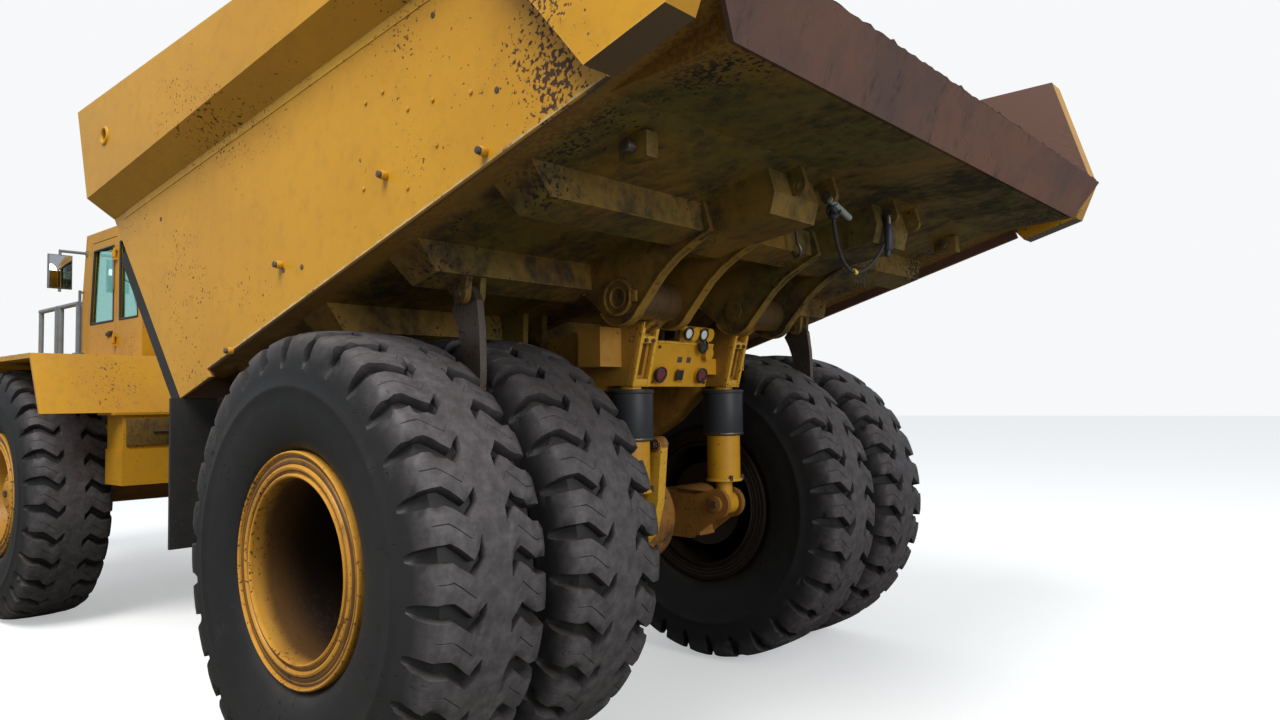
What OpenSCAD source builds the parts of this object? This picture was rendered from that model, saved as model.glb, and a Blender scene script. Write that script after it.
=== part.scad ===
// Articulated dump truck with one twin-wheeled rear axle, at real size.
// X points forward, Y to the left side and Z up. Z = 0 is the ground.

/* [Layout] */
// Distance between the rear and the front axle
wheelbase = 5500; // [5300:10:5800]
// From the rear axle back to the tail's upper edge
tail_reach = 2350; // [2300:10:2450]
// From the front axle to the bumper's front face
nose_reach = 3250; // [3200:10:3400]
// From the front axle back to the steering pivot
pivot_back = 1550; // [1500:10:1650]
// Running gap around pins, shafts and sliding rods
run = 0.3; // [0.1:0.1:0.5]

/* [Wheels] */
// Outer radius of every tyre, over its lugs
tyre_r = 1087; // [1060:1:1110]
// Width of a tyre's section
tyre_w = 660; // [630:1:680]
// Radius of the rim where the tyre's beads sit
bead_r = 445; // [430:1:460]
// Outer radius of the rim flanges
flange_r = 533; // [520:1:545]
// Distance between the outer faces of a rim's two flanges
rim_w = 554; // [530:1:570]
// Thickness of a rim flange
flange_t = 30; // [20:1:36]
// From a tipping cylinder's foot plate to the inner rear tyre's face
twin_clear = 69; // [60:1:90]
// Distance between the middles of twin tyres
twin_pitch = 758; // [750:1:770]
// From the middle of the truck to a front tyre's middle
front_track = 1700; // [1680:1:1750]
// Radius of the spindle that a wheel turns on
spindle_r = 120; // [100:1:140]
// Radius of a wheel's hub drum
hub_r = 290; // [260:1:310]

/* [Load bin] */
// Slope of the bin's floor, rising to the rear
floor_tilt = 16.5; // [15:0.1:18]
// Height of the floor line over the rear axle, at the axle
floor_up = 1280; // [1270:1:1300]
// From that line up to the floor plate's underside
beam_h = 60; // [50:1:80]
// Depth of the ribs under the floor plate
rib_d = 140; // [120:1:150]
// Thickness of the floor plate
floor_t = 20; // [12:1:30]
// Thickness of the side walls and the headboard
wall_t = 30; // [20:1:40]
// From the middle of the truck to a side wall's outer face
wall_y = 2100; // [2080:1:2110]
// Depth of the box rail along a side wall
rail_d = 150; // [130:1:160]
// Radius of the lifting hole in a side rail
lift_r = 40; // [30:1:45]
// Radius of the tipping hinge pins
hinge_r = 60; // [50:1:70]
// Thickness of the hinge brackets' plates
bracket_t = 40; // [30:1:50]
// From the middle of the truck to an inner hinge bracket
bracket_in = 320; // [310:1:330]
// From the middle of the truck to an outer hinge bracket
bracket_out = 740; // [730:1:750]

/* [Rear frame] */
// From the middle of the truck to the middle of a frame rail
rail_y = 450; // [440:1:455]
// Width of a frame rail
rail_w = 150; // [120:1:160]
// Radius of the axle tubes
axle_r = 150; // [130:1:170]
// Radius of the oscillation tube
swivel_r = 170; // [150:1:190]
// Radius of a suspension strut's boot
strut_r = 125; // [115:1:130]

/* [Cylinders] */
// From the middle of the truck to a tipping cylinder
hoist_y = 640; // [635:1:650]
// Outer radius of a tipping cylinder's barrel
hoist_r = 90; // [80:1:95]
// Radius of a tipping cylinder's rod
hoist_rod_r = 55; // [45:1:60]
// Radius of the pins at the cylinders' ends
eye_pin_r = 32; // [28:1:36]
// Outer radius of a steering cylinder's barrel
steer_r = 65; // [55:1:70]
// Radius of a steering cylinder's rod
steer_rod_r = 38; // [32:1:42]

/* [Front unit] */
// From the middle of the truck to a front rail's middle
front_rail_y = 630; // [620:1:650]
// Width of a front frame rail
front_rail_w = 140; // [120:1:150]
// Radius of the steering pivot's pins
knuckle_r = 75; // [60:1:85]
// Half the width of the cab
cab_y = 960; // [940:1:970]
// Thickness of the cab's walls and door
cab_t = 50; // [40:1:60]
// Length of the cab
cab_l = 1650; // [1600:10:1700]
// Height of the cab, floor to roof
cab_h = 1600; // [1560:10:1700]
// Half the width of the hood
hood_y = 860; // [820:1:880]
// Thickness of the hood's skin
hood_t = 25; // [15:1:30]
// Height of the decks over the front tyres, above the axle
deck_up = 1180; // [1150:1:1190]
// Radius of the grab rails' tube
grab_r = 20; // [15:1:25]
// Radius of the tow hole in the bumper
tow_r = 40; // [30:1:45]

/* [Hidden] */
$fn = 48;
yellow = "#d99a1c";
rust = "#6b3f2a";
black = "#1d1d1d";
steel = "#8a8f94";
rubber = "#262524";

// Places along the truck
rear_x = -(wheelbase + nose_reach - tail_reach) / 2;
front_x = rear_x + wheelbase;
hitch_x = wheelbase - pivot_back;
bumper_x = nose_reach - 300;
rail_nose = nose_reach - 550;
foot_gap = 14;
foot_t = 20;
foot_out = hoist_y + hoist_r + foot_gap;
rear_track = foot_out + foot_t + twin_clear + tyre_w / 2 + twin_pitch;
twin_in = rear_track - twin_pitch;
twin_face = twin_in - tyre_w / 2;

// The rear and the front axle's middle are the origins of their units
module rear() translate([rear_x, 0, tyre_r]) children();
module front() translate([front_x, 0, tyre_r]) children();
module both() { children(); mirror([0, 1, 0]) children(); }

// Extrudes a side profile, drawn in x and z, between two planes of y
module side(y0, y1) translate([0, y1, 0]) rotate([90, 0, 0]) linear_extrude(y1 - y0) children();
// Extrudes a section, drawn in y and z, between two planes of x
module along(x0, x1) translate([x0, 0, 0]) rotate([90, 0, 90]) linear_extrude(x1 - x0) children();
// Round bars along each axis
module bar_x(r, x0, x1) translate([x0, 0, 0]) rotate([0, 90, 0]) cylinder(r = r, h = x1 - x0);
module bar_y(r, y0, y1) translate([0, y1, 0]) rotate([90, 0, 0]) cylinder(r = r, h = y1 - y0);
// A block given by its low and its high corner
module block(a, b) translate(a) cube(b - a);
// Points of an arc about a centre
function arc(c, r, a0, a1, n) =
    [for (i = [0:n]) c + r * [cos(a0 + (a1 - a0) * i / n), sin(a0 + (a1 - a0) * i / n)]];
// Where a line through p of slope a meets one through q of slope b
function cross_at(p, a, q, b) =
    let (x = (q[1] - p[1] + a * p[0] - b * q[0]) / (a - b)) [x, p[1] + a * (x - p[0])];
// A straight round bar between two points
module strut(a, b, r) {
    d = b - a;
    translate(a) rotate([0, acos(d[2] / norm(d)), atan2(d[1], d[0])]) cylinder(r = r, h = norm(d));
}

// Floor line of the bin: u runs forward along it, v is square to it and up
function on_floor(u, v) = [u * cos(floor_tilt) + v * sin(floor_tilt),
    floor_up - u * sin(floor_tilt) + v * cos(floor_tilt)];
floor_slope = -tan(floor_tilt);
module on_bin() translate([0, 0, floor_up]) rotate([0, floor_tilt, 0]) children();

// Side view of the bin, from the rear axle: corners of its outer faces
head_foot = [1470, 789];
head_knee = [2500, 1965];
head_top = [2730, 2685];
tail_top = [-tail_reach, 2150];
tail_foot = [-tail_reach + 100, 1885];
rim_mid = [540, 2770];
rim_back = [-1300, 2835];
rim_end = [-2110, 2850];
head_slope = (head_knee[1] - head_foot[1]) / (head_knee[0] - head_foot[0]);
tail_slope = (tail_top[1] - tail_foot[1]) / (tail_top[0] - tail_foot[0]);
fascia_t = 25;
wall_notch = on_floor(1160, -50);
tip_pin = [-700, 1285];
tip_boss = 150;

// Load bin: floor, walls and headboard
module bin_floor() color(yellow) rear() {
    under = on_floor(0, beam_h);
    over = on_floor(0, beam_h + floor_t);
    head_in = head_foot - [wall_t / sin(atan(head_slope)), 0];
    side(-wall_y + wall_t, wall_y - wall_t) polygon([
        cross_at(under, floor_slope, tail_foot + [fascia_t, 0], tail_slope),
        cross_at(over, floor_slope, tail_foot + [fascia_t, 0], tail_slope),
        cross_at(over, floor_slope, head_in, head_slope),
        cross_at(under, floor_slope, head_in, head_slope)]);
}

module bin_walls() color(yellow) rear() both() side(wall_y - wall_t, wall_y)
    polygon([head_foot, head_knee, head_top, rim_mid, rim_back, rim_end, tail_top + [fascia_t, 0],
        cross_at(on_floor(0, beam_h), floor_slope, tail_foot + [fascia_t, 0], tail_slope),
        on_floor(-1930, beam_h), on_floor(-1930, 0), on_floor(1180, 0), wall_notch]);

module bin_headboard() color(yellow) rear() side(-wall_y + wall_t, wall_y - wall_t) {
    in_foot = wall_t / sin(atan(head_slope));
    polygon([head_foot, head_knee, head_top, head_top - [wall_t * 1.05, 0],
        head_knee - [wall_t * 1.12, -6], head_foot - [in_foot, 0]]);
}

// Box rail along the top of each wall, with its flank down to the tail
rail_low = [2520, 2085];
rail_slope = 7.95;
rail_fall = 125;
lift_at = [2240, 2430];
module bin_rails() color(yellow) rear() both() difference() {
    side(wall_y, wall_y + rail_d)
        polygon([head_knee, head_top, rim_mid, rim_back, rim_end, tail_top + [fascia_t, 0],
            tail_foot + [fascia_t, 30], [-1887, 1813], [-1298, 2492]]);
    translate([rail_low[0], 0, rail_low[1]]) rotate([0, rail_slope, 0]) along(-3830, 200)
        polygon([[wall_y - 1, -rail_fall - 1], [wall_y + rail_d + 1, 1], [wall_y + rail_d + 30, 1],
            [wall_y + rail_d + 30, -400], [wall_y - 1, -400]]);
    translate([lift_at[0], 0, lift_at[1]]) bar_y(lift_r, wall_y - 1, wall_y + rail_d + 1);
}

// Rusty plate across the tail, leaning back and flaring out to the rails
fascia_h = norm(tail_top - tail_foot);
fascia_lean = atan2(tail_foot[0] - tail_top[0], tail_top[1] - tail_foot[1]);
module tail_fascia() color(rust) rear() translate([tail_foot[0], 0, tail_foot[1]])
    rotate([0, -fascia_lean, 0]) along(0, (fascia_t - run) * cos(fascia_lean))
        polygon([[-1930, 0], [1930, 0], [2200, fascia_h], [-2200, fascia_h]]);

// Welded frame under the floor: ribs, beams, tail box and tipping hinge
ejector_u = -405;
// [place along the floor, inner end or 0 where it runs right across]
ribs = [[1180, 0], [400, 0], [ejector_u, bracket_out], [-1190, 0]];
beam_top = beam_h - run;
rib_low = beam_h - rib_d;
rib_w = [190, 240];
rib_end = [1790, 1880];
beam_in = bracket_in + 8;
beam_out = bracket_out - 6;
beam_end = -1705;
lug_u = -1745;
lug_ys = [-740, -450, 260, 560];
lug_hole = 18;
module hinge_plate(y) side(y - bracket_t / 2, y + bracket_t / 2)
    polygon(concat([for (q = [[-1330, beam_top], [-120, beam_top], [-120, 20], [-300, 10], [-440, -90]]) on_floor(q[0], q[1])],
        arc(tip_pin, tip_boss, -25, -150, 12),
        [for (q = [[-880, -240], [-970, -185], [-1080, -140], [-1200, -112], [-1330, -95]]) on_floor(q[0], q[1])]));
// A rib's section is drawn across it, and its ends are cut to a slope
module rib(u, inner) on_bin() both() intersection() {
    side(inner, rib_end[1]) polygon([[u - rib_w[1] / 2, beam_top], [u - rib_w[0] / 2, rib_low],
        [u + rib_w[0] / 2, rib_low], [u + rib_w[1] / 2, beam_top]]);
    along(u - rib_w[1], u + rib_w[1]) polygon([[inner - 1, rib_low - 1], [rib_end[0], rib_low - 1],
        [rib_end[1], beam_top + 1], [inner - 1, beam_top + 1]]);
}
module bin_frame() color(yellow) rear() {
    for (r = ribs) rib(r[0], r[1] > 0 ? r[1] : -1);
    both() on_bin() side(beam_in, beam_out) polygon([[beam_end, beam_top], [beam_end, -60], [beam_end + 55, -150], [-1300, -100],
        [-1080, -92], [-960, -40], [-920, 0], [1500, 0], [1500, beam_top]]);
    side(-1930, 1930) polygon([on_floor(-1800, beam_top), tail_foot + [fascia_t, 0],
        cross_at(on_floor(-1800, beam_top), floor_slope, tail_foot + [fascia_t, 0], tail_slope)]);
    both() {
        for (y = [bracket_in, bracket_out]) hinge_plate(y);
        for (y = [hoist_y - lug_face + 18, hoist_y + lug_face - 18]) hoist_lug(y);
        for (y = [hoist_y - lug_face - cap_t, hoist_y + lug_face - 1])
            translate([hoist_head[0], 0, hoist_head[1]]) bar_y(cap_r, y, y + cap_t + 1);
        translate([tip_pin[0], 0, tip_pin[1]]) {
            bar_y(hinge_r, bracket_in - bracket_t / 2 - 10, bracket_out + bracket_t / 2 - 6);
            difference() {
                bar_y(100, bracket_out, bracket_out + bracket_t / 2 + 16);
                bar_y(48, bracket_out + bracket_t / 2 - 8, bracket_out + bracket_t);
            }
        }
        ejector_ears();
    }
    for (y = lug_ys) cable_lug(y);
}
module cable_lug(y) on_bin() side(y - 15, y + 15) difference() {
    polygon(concat([[lug_u + 45, beam_top], [lug_u - 45, beam_top]], arc([lug_u, -20], 45, 180, 360, 10)));
    translate([lug_u, -20]) circle(r = lug_hole);
}

// Tipping cylinders, one beside each rail: foot pin and head eye
hoist_foot = [424, -101];
hoist_head = [169, 1052];
hoist_lean = atan2(hoist_foot[0] - hoist_head[0], hoist_head[1] - hoist_foot[1]);
hoist_len = norm(hoist_head - hoist_foot);
hoist_eye_w = 50;
lug_face = 93;
cap_r = 45;
cap_t = 18;
hoist_barrel_l0 = hoist_len - 150;
eye_r = 75;
module hoist_lug(y) side(y - 18, y + 18) {
    polygon(concat([on_floor(60, beam_top), on_floor(400, beam_top)], arc(hoist_head, 85, -20, -160, 8)));
}
module on_hoist() translate([hoist_foot[0], hoist_y, hoist_foot[1]]) rotate([0, -hoist_lean, 0]) children();
module hoist_barrel() color(yellow) rear() on_hoist() difference() {
    union() {
        bar_y(eye_r + 10, -hoist_eye_w, hoist_eye_w);
        translate([0, 0, 60]) cylinder(r = hoist_r, h = hoist_barrel_l0 - 60);
        translate([0, 0, hoist_barrel_l0 - 60]) cylinder(r = hoist_r + 6, h = 60);
    }
    bar_y(eye_pin_r + run, -hoist_eye_w - 1, hoist_eye_w + 1);
    translate([0, 0, 130]) cylinder(r = hoist_rod_r + run, h = hoist_barrel_l0);
}
module hoist_rod() color(steel) rear() on_hoist() {
    translate([0, 0, 140]) cylinder(r = hoist_rod_r, h = hoist_len - 140 - eye_r + 20);
    translate([0, 0, hoist_len]) bar_y(eye_r, -hoist_eye_w, hoist_eye_w);
}

// Rock ejectors hang between the twin tyres, in ears under a rib
ejector_v = rib_low - 60;
ejector_at = on_floor(ejector_u, ejector_v);
ejector_y = rear_track - twin_pitch / 2;
ejector_pin_r = 18;
ejector_t = 40;
ejector_ear = 34;
module ejector_ears() difference() {
    for (y = [ejector_y - ejector_t / 2 - 6 - ejector_ear, ejector_y + ejector_t / 2 + 6])
        on_bin() side(y, y + ejector_ear) polygon(concat([[ejector_u + 85, rib_low + 20], [ejector_u - 85, rib_low + 20]],
            arc([ejector_u, ejector_v], 48, 190, 350, 10)));
    translate([ejector_at[0], 0, ejector_at[1]]) bar_y(ejector_pin_r + run, ejector_y - 90, ejector_y + 90);
}
module rock_ejector() color(steel) rear() translate([ejector_at[0], ejector_y, ejector_at[1]]) {
    bar_y(ejector_pin_r, -75, 75);
    side(-ejector_t / 2, ejector_t / 2) polygon(concat(arc([0, 0], 48, 150, 30, 8),
        [[112, -62], [76, -130], [48, -214], [16, -336], [8, -680], [-10, -700], [-80, -695], [-104, -364], [-98, -174], [-80, -30]]));
}

// Rubber: strips along the headboard's edges and flaps before the wheels
strip_top = head_knee - 180 * [1, head_slope];
strip_out = 110 * [sin(atan(head_slope)), -cos(atan(head_slope))];
strip_gap = run * [sin(atan(head_slope)), -cos(atan(head_slope))];
flap_x = [head_foot[0] - 25, head_foot[0] - 2];
module bin_rubbers() color(rubber) rear() both() {
    side(wall_y - 90, wall_y - 10) polygon([head_foot + strip_gap, strip_top + strip_gap, strip_top + strip_out,
        head_foot + strip_out]);
    side(1900, wall_y + 60) polygon([[flap_x[0], -60], [flap_x[1], -60],
        [flap_x[1], head_foot[1]], [flap_x[0], head_foot[1]]]);
}

// Slack cable between two lugs under the tail, its route in the rear axle's frame
cable_r = 10;
lug_x = on_floor(lug_u, -20)[0];
lug_z = on_floor(lug_u, -20)[1];
cable_off = 35;
cable_drop = 66;
cable_start = lug_z - cable_drop - 0.4;
cable_route = [[lug_x, 225, cable_start], [lug_x, 225, 1662], [-1675, 214, 1630], [-1669, 196, 1596],
    [-1661, 172, 1563], [-1652, 141, 1531], [-1642, 103, 1501], [-1631, 58, 1473], [-1621, 7, 1449],
    [-1612, -48, 1431], [-1605, -105, 1421], [-1601, -162, 1420], [-1602, -217, 1429], [-1607, -268, 1448],
    [-1616, -313, 1476], [-1629, -351, 1513], [-1645, -381, 1557], [-1661, -402, 1606], [lug_x, -415, 1656],
    [lug_x, -415, cable_start]];
function unit(v) = v / norm(v);
function run_dir(p, i) = unit(p[min(i + 1, len(p) - 1)] - p[max(i - 1, 0)]);
function ring(p, i, r, n) = let (t = run_dir(p, i), a = unit(cross(t, [1, 0, 0])), b = cross(t, a))
    [for (k = [0:n - 1]) p[i] + r * (a * cos(360 * k / n) + b * sin(360 * k / n))];
module tube(p, r, n) {
    m = len(p);
    polyhedron(points = [for (i = [0:m - 1]) each ring(p, i, r, n)],
        faces = concat([[for (k = [0:n - 1]) k]], [[for (k = [n - 1:-1:0]) (m - 1) * n + k]],
            [for (i = [0:m - 2]) for (k = [0:n - 1])
                [i * n + k, (i + 1) * n + k, (i + 1) * n + (k + 1) % n, i * n + (k + 1) % n]]));
}
module cable() color(black) rear() tube(cable_route, cable_r, 8);
module cable_end(y, d) translate([lug_x, y, lug_z]) {
    bar_y(lug_hole - run, min(-20 * d, 45 * d), max(-20 * d, 45 * d));
    translate([0, cable_off * d, -cable_drop]) cylinder(r = 16, h = cable_drop);
}
module cable_ends() color(steel) rear() {
    cable_end(lug_ys[2], -1);
    cable_end(lug_ys[1], 1);
}

// Rear frame: two cranked rails, cross tubes, hinge bosses and the swivel housing
housing_x = [hitch_x - 1250, hitch_x - 520];
hitch_z = 110;
rail_end = [[-545, 825], [-640, 1190]];
rear_rail = [rail_end[0], [-380, 825], [-100, 590], [200, 430], [330, -20], [560, -60], [1500, 20], [housing_x[0], -90],
    [housing_x[0], 330], [1500, 640], [0, 1120], [-500, 1205], rail_end[1]];
rail_face = rail_y + rail_w / 2;
rail_lean = atan2(rail_end[0][0] - rail_end[1][0], rail_end[1][1] - rail_end[0][1]);
boss_r = 105;
module rear_frame() color(yellow) rear() {
    difference() {
        union() {
            both() side(rail_y - rail_w / 2, rail_y + rail_w / 2) polygon(rear_rail);
            for (c = [[-250, 1000, 90], [900, 560, 90], [1900, 260, 90]])
                translate([c[0], 0, c[1]]) bar_y(c[2], -rail_y, rail_y);
            block([housing_x[0], -rail_y - rail_w / 2, -140], [housing_x[0] + 60, rail_y + rail_w / 2, 380]);
            translate([0, 0, hitch_z]) bar_x(swivel_r + 90, housing_x[0], housing_x[1]);
            both() {
                translate([tip_pin[0], 0, tip_pin[1]])
                    bar_y(boss_r, bracket_in + bracket_t / 2 + 6, bracket_out - bracket_t / 2 - 6);
                side(rail_y - rail_w / 2 + 12, rail_y + rail_w / 2 - 12)
                    polygon(concat(arc(tip_pin, boss_r - 5, 70, 240, 10), [[-600, 1100], [-400, 1100], [-430, 1190]]));
                block([-500, rail_y, 930], [-330, 700, 1150]);
            }
            both() for (y = [rail_face - foot_t, foot_out]) side(y, y + foot_t)
                polygon(concat(arc(hoist_foot, 80, -170, -10, 8), [[620, 300], [300, 300]]));
            both() difference() {
                block([330, rail_y, 60], [620, foot_out + foot_t / 2, 300]);
                translate([hoist_foot[0], hoist_y, hoist_foot[1]]) rotate([0, -hoist_lean, 0])
                    block([-hoist_r - 40, hoist_y - foot_out, -110], [hoist_r + 40, foot_out, 590]);
            }
        }
        both() {
            translate([tip_pin[0], 0, tip_pin[1]]) bar_y(hinge_r + run, 0, bracket_out + 100);
            translate([rail_end[0][0], 0, rail_end[0][1]]) rotate([0, -rail_lean, 0]) for (z = [[60, 240], [300, 420]])
                block([-60, rail_y - 24, z[0]], [30, rail_y + 24, z[1]]);
        }
        translate([0, 0, hitch_z]) bar_x(swivel_r + run, housing_x[0] - 1, housing_x[1] + 1);
    }
    both() translate([hoist_foot[0], 0, hoist_foot[1]]) {
        bar_y(eye_pin_r, rail_face - foot_t, foot_out + foot_t);
        bar_y(50, rail_face, hoist_y - hoist_eye_w - 1);
        bar_y(50, hoist_y + hoist_eye_w + 1, foot_out);
    }
}

// Lamp plate across the frame's tail, leaning back between the slotted rail ends
panel_foot = [-465, 828];
panel_lean = 16;
panel_y = 280;
module tail_panel() color(yellow) rear() {
    translate([panel_foot[0], 0, panel_foot[1]]) rotate([0, -panel_lean, 0]) {
        block([-20, -panel_y, 0], [0, panel_y, 275]);
        both() translate([0, 185, 78]) bar_x(46, -48, -10);
        block([-40, -30, 40], [-10, 42, 112]);
        block([-14, -230, 260], [-2, 60, 372]);
        for (q = [[-20, 335], [-170, 335], [-205, 215]]) translate([0, q[0], q[1]]) bar_x(40, -58, -8);
    }
    both() block([panel_foot[0] - 40, panel_y - 20, 900], [panel_foot[0], rail_y - rail_w / 2, 1000]);
}

// Rear axle: housing, tubes, pulling arm and the struts' clevises
module rear_axle() color(rust) rear() {
    difference() {
        union() {
            bar_y(axle_r, -twin_face - 60, twin_face + 60);
            both() bar_y(spindle_r, twin_face, twin_in + 330);
            bar_y(300, -190, 190);
            both() bar_y(235, 180, 260);
            bar_x(220, -260, 300);
            both() strut([100, 260, -20], [1480, 90, 60], 80);
            both() for (y = [rail_y - 78, rail_y + 78]) side(y - ear_t / 2, y + ear_t / 2)
                polygon(concat([[60, -145], [60, 145], [-330, 130]], arc([strut_x, clevis_z], ear_r, 75, 275, 12),
                    [[-300, -150]]));
            both() block([-360, rail_y - 78, -130], [-120, rail_y + 78, 60]);
            side(140, 200) polygon(concat(arc([-470, 480], 48, 200, 20, 8), [[-405, 380], [-400, 260], [-330, 120],
                [-180, 60], [-180, -150], [-330, -140], [-430, -40], [-480, 140], [-495, 300]]));
        }
        both() translate([strut_x, 0, clevis_z]) bar_y(strut_pin_r + run, rail_y - 200, rail_y + 200);
        translate([-470, 0, 480]) bar_y(20, 100, 240);
    }
    translate([1500, 0, 60]) bar_y(110, -300, 300);
    both() block([1440, 290, 20], [1560, rail_y - rail_w / 2, 130]);
}

// Suspension struts from the axle's clevises up to the rails
strut_x = -500;
clevis_z = 80;
ear_r = 95;
ear_t = 32;
strut_pin_r = 34;
module rear_struts() color(yellow) rear() both() translate([strut_x, rail_y, 0]) {
    translate([0, 0, clevis_z]) {
        bar_y(strut_pin_r, -112, 112);
        bar_y(72, -56, 56);
        cylinder(r = 52, h = 160);
    }
    translate([0, 0, 222]) cylinder(r = strut_r - 20, h = 300);
    translate([0, 0, 520]) cylinder(r = strut_r, h = 280);
    translate([0, 0, 790]) cylinder(r = 62, h = rear_rail[0][1] - 790);
}

// A tyre is one faceted solid. Each half has one groove a pitch, ringed by these rows of points:
// [turn, in pitches from the groove's middle, out from the tyre's middle, radius]
pitches = 30;
phase = 0.25;
bead_w = rim_w / 2 - flange_t - run;
half_w = tyre_w / 2;
crest = [0.25, 110, tyre_r];
edge_a = [0.18, 282, tyre_r - 33];
edge_b = [-0.18, 282, tyre_r - 33];
bed = [0, 262, tyre_r - 92];
low_a = [0.15, half_w, tyre_r - 207];
low_b = [-0.15, half_w, tyre_r - 207];
bead_out = [0.5, bead_w, (flange_r + 2) / cos(180 / pitches)];
bead_toe = [1, bead_w, (bead_r + run) / cos(360 / pitches)];
half_rows = [crest, edge_a, edge_b, bed, low_a, low_b, bead_out];
n_rows = len(half_rows);
n_half = pitches * n_rows + pitches / 2;
// The other half is the same one turned half round about a groove
function on_tyre(q, p, h) = let (a = 360 / pitches * ((h > 0 ? p + q[0] : -0.5 - p - q[0]) + phase))
    [q[2] * cos(a), h * q[1], q[2] * sin(a)];
function half_points(h) = concat([for (q = half_rows) for (p = [0:pitches - 1]) on_tyre(q, p, h)],
    [for (p = [0:2:pitches - 1]) on_tyre(bead_toe, p, h)]);
function at_row(h, row, p) = h * n_half + row * pitches + (p + pitches) % pitches;
function toe(h, k) = h * n_half + n_rows * pitches + (k + pitches / 2) % (pitches / 2);
function half_faces(h) = concat([for (p = [0:pitches - 1])
        let (g = at_row(h, 0, p), g2 = at_row(h, 0, p + 1), a = at_row(h, 1, p), b = at_row(h, 2, p),
            b2 = at_row(h, 2, p + 1), f = at_row(h, 3, p), c = at_row(h, 4, p), d = at_row(h, 5, p),
            d2 = at_row(h, 5, p + 1), s = at_row(h, 6, p), s0 = at_row(h, 6, p - 1))
        each [[g, a, f], [g, f, b], [a, c, f], [f, c, d], [f, d, b], [g, g2, b2], [g, b2, a],
            [a, b2, d2], [a, d2, c], [c, d2, s], [d, c, s], [d, s, s0]]],
    [for (k = [0:pitches / 2 - 1]) let (s = at_row(h, 6, 2 * k), s1 = at_row(h, 6, 2 * k + 1), s2 = at_row(h, 6, 2 * k + 2))
        each [[s, s1, toe(h, k)], [s1, s2, toe(h, k)], [s2, toe(h, k + 1), toe(h, k)]]]);
module tyre() polyhedron(points = concat(half_points(1), half_points(-1)), faces = concat(half_faces(0), half_faces(1),
    [for (p = [0:pitches - 1]) let (g = at_row(0, 0, p), g2 = at_row(0, 0, p + 1), m = at_row(1, 0, pitches - 1 - p),
        m2 = at_row(1, 0, 2 * pitches - 2 - p)) each [[m, m2, g2], [m, g2, g]]],
    [for (k = [0:pitches / 2 - 1]) let (m = toe(1, pitches / 2 - 1 - k), m2 = toe(1, pitches - 2 - k))
        each [[toe(0, k), toe(0, k + 1), m2], [toe(0, k), m2, m]]]));

// Rims: [radius, out from the rim's middle], one closed outline round the spindle's axis
lip_r = bead_r - 31;
seat = rim_w / 2;
function rim_out(y) = [[flange_r, y + seat], [flange_r, y + seat - flange_t],
    [bead_r, y + seat - flange_t], [bead_r, y - seat + flange_t], [flange_r, y - seat + flange_t],
    [flange_r, y - seat]];
module turned(pts) rotate([-90, 0, 0]) rotate_extrude($fn = 72) polygon(pts);
disc_y = twin_in + 330;
module rear_rims() color(yellow) rear() turned(concat([[lip_r, rear_track + seat]], rim_out(rear_track),
    [[bead_r, rear_track - seat], [bead_r, twin_in + seat]], rim_out(twin_in),
    [[lip_r, twin_in - seat], [lip_r, twin_in + 200], [hub_r, twin_in + 200], [hub_r, twin_face + 90],
    [spindle_r + run, twin_face + 90], [spindle_r + run, disc_y + run], [0, disc_y + run], [0, disc_y + 150],
    [190, disc_y + 150], [205, disc_y + 90], [hub_r - 20, disc_y + 80], [hub_r, disc_y + 20],
    [lip_r, disc_y - 20]]));
module rear_tyres(h) color(rubber) rear() for (y = [twin_in, rear_track]) translate([0, h * y, 0]) tyre();

module front_rim() color(yellow) front() turned(concat([[lip_r, front_track + seat]], rim_out(front_track),
    [[lip_r, front_track - seat], [lip_r, front_track - 80], [hub_r, front_track - 80],
    [hub_r, front_track - 300], [spindle_r + run, front_track - 300], [spindle_r + run, front_track + run],
    [0, front_track + run], [0, front_track + 170], [200, front_track + 170], [215, front_track + 130],
    [hub_r + 20, front_track + 120], [hub_r + 30, front_track + 60], [hub_r + 30, front_track - 30]]));
module front_tyre(h) color(rubber) front() translate([0, h * front_track, 0]) tyre();

// Hitch: the swivel tube in the rear frame's housing and the steering knuckle
knuckle_z = [-130, 330];
hitch_arm = [-250, 380, 100];
plate_t = 60;
module hitch() color(yellow) rear() translate([hitch_x, 0, 0]) difference() {
    union() {
        translate([0, 0, hitch_z]) bar_x(swivel_r, -1240, -180);
        translate([0, 0, hitch_z]) bar_x(swivel_r + 60, -500, -420);
        translate([0, 0, knuckle_z[0]]) cylinder(r = 125, h = knuckle_z[1] - knuckle_z[0]);
        block([-400, -110, knuckle_z[0] + 40], [0, 110, knuckle_z[1] - 40]);
        both() for (z = [hitch_arm[2] - 78, hitch_arm[2] + 50]) translate([0, 0, z]) linear_extrude(28)
            polygon(concat([[-400, 80], [-120, 80]], arc([hitch_arm[0], hitch_arm[1]], 75, 10, 170, 8)));
        both() for (z = [hitch_arm[2] - 77 - cap_t, hitch_arm[2] + 77])
            translate([hitch_arm[0], hitch_arm[1], z]) cylinder(r = cap_r, h = cap_t);
    }
    translate([0, 0, knuckle_z[0] - 1]) cylinder(r = knuckle_r + run, h = knuckle_z[1] - knuckle_z[0] + 2);
}

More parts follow.
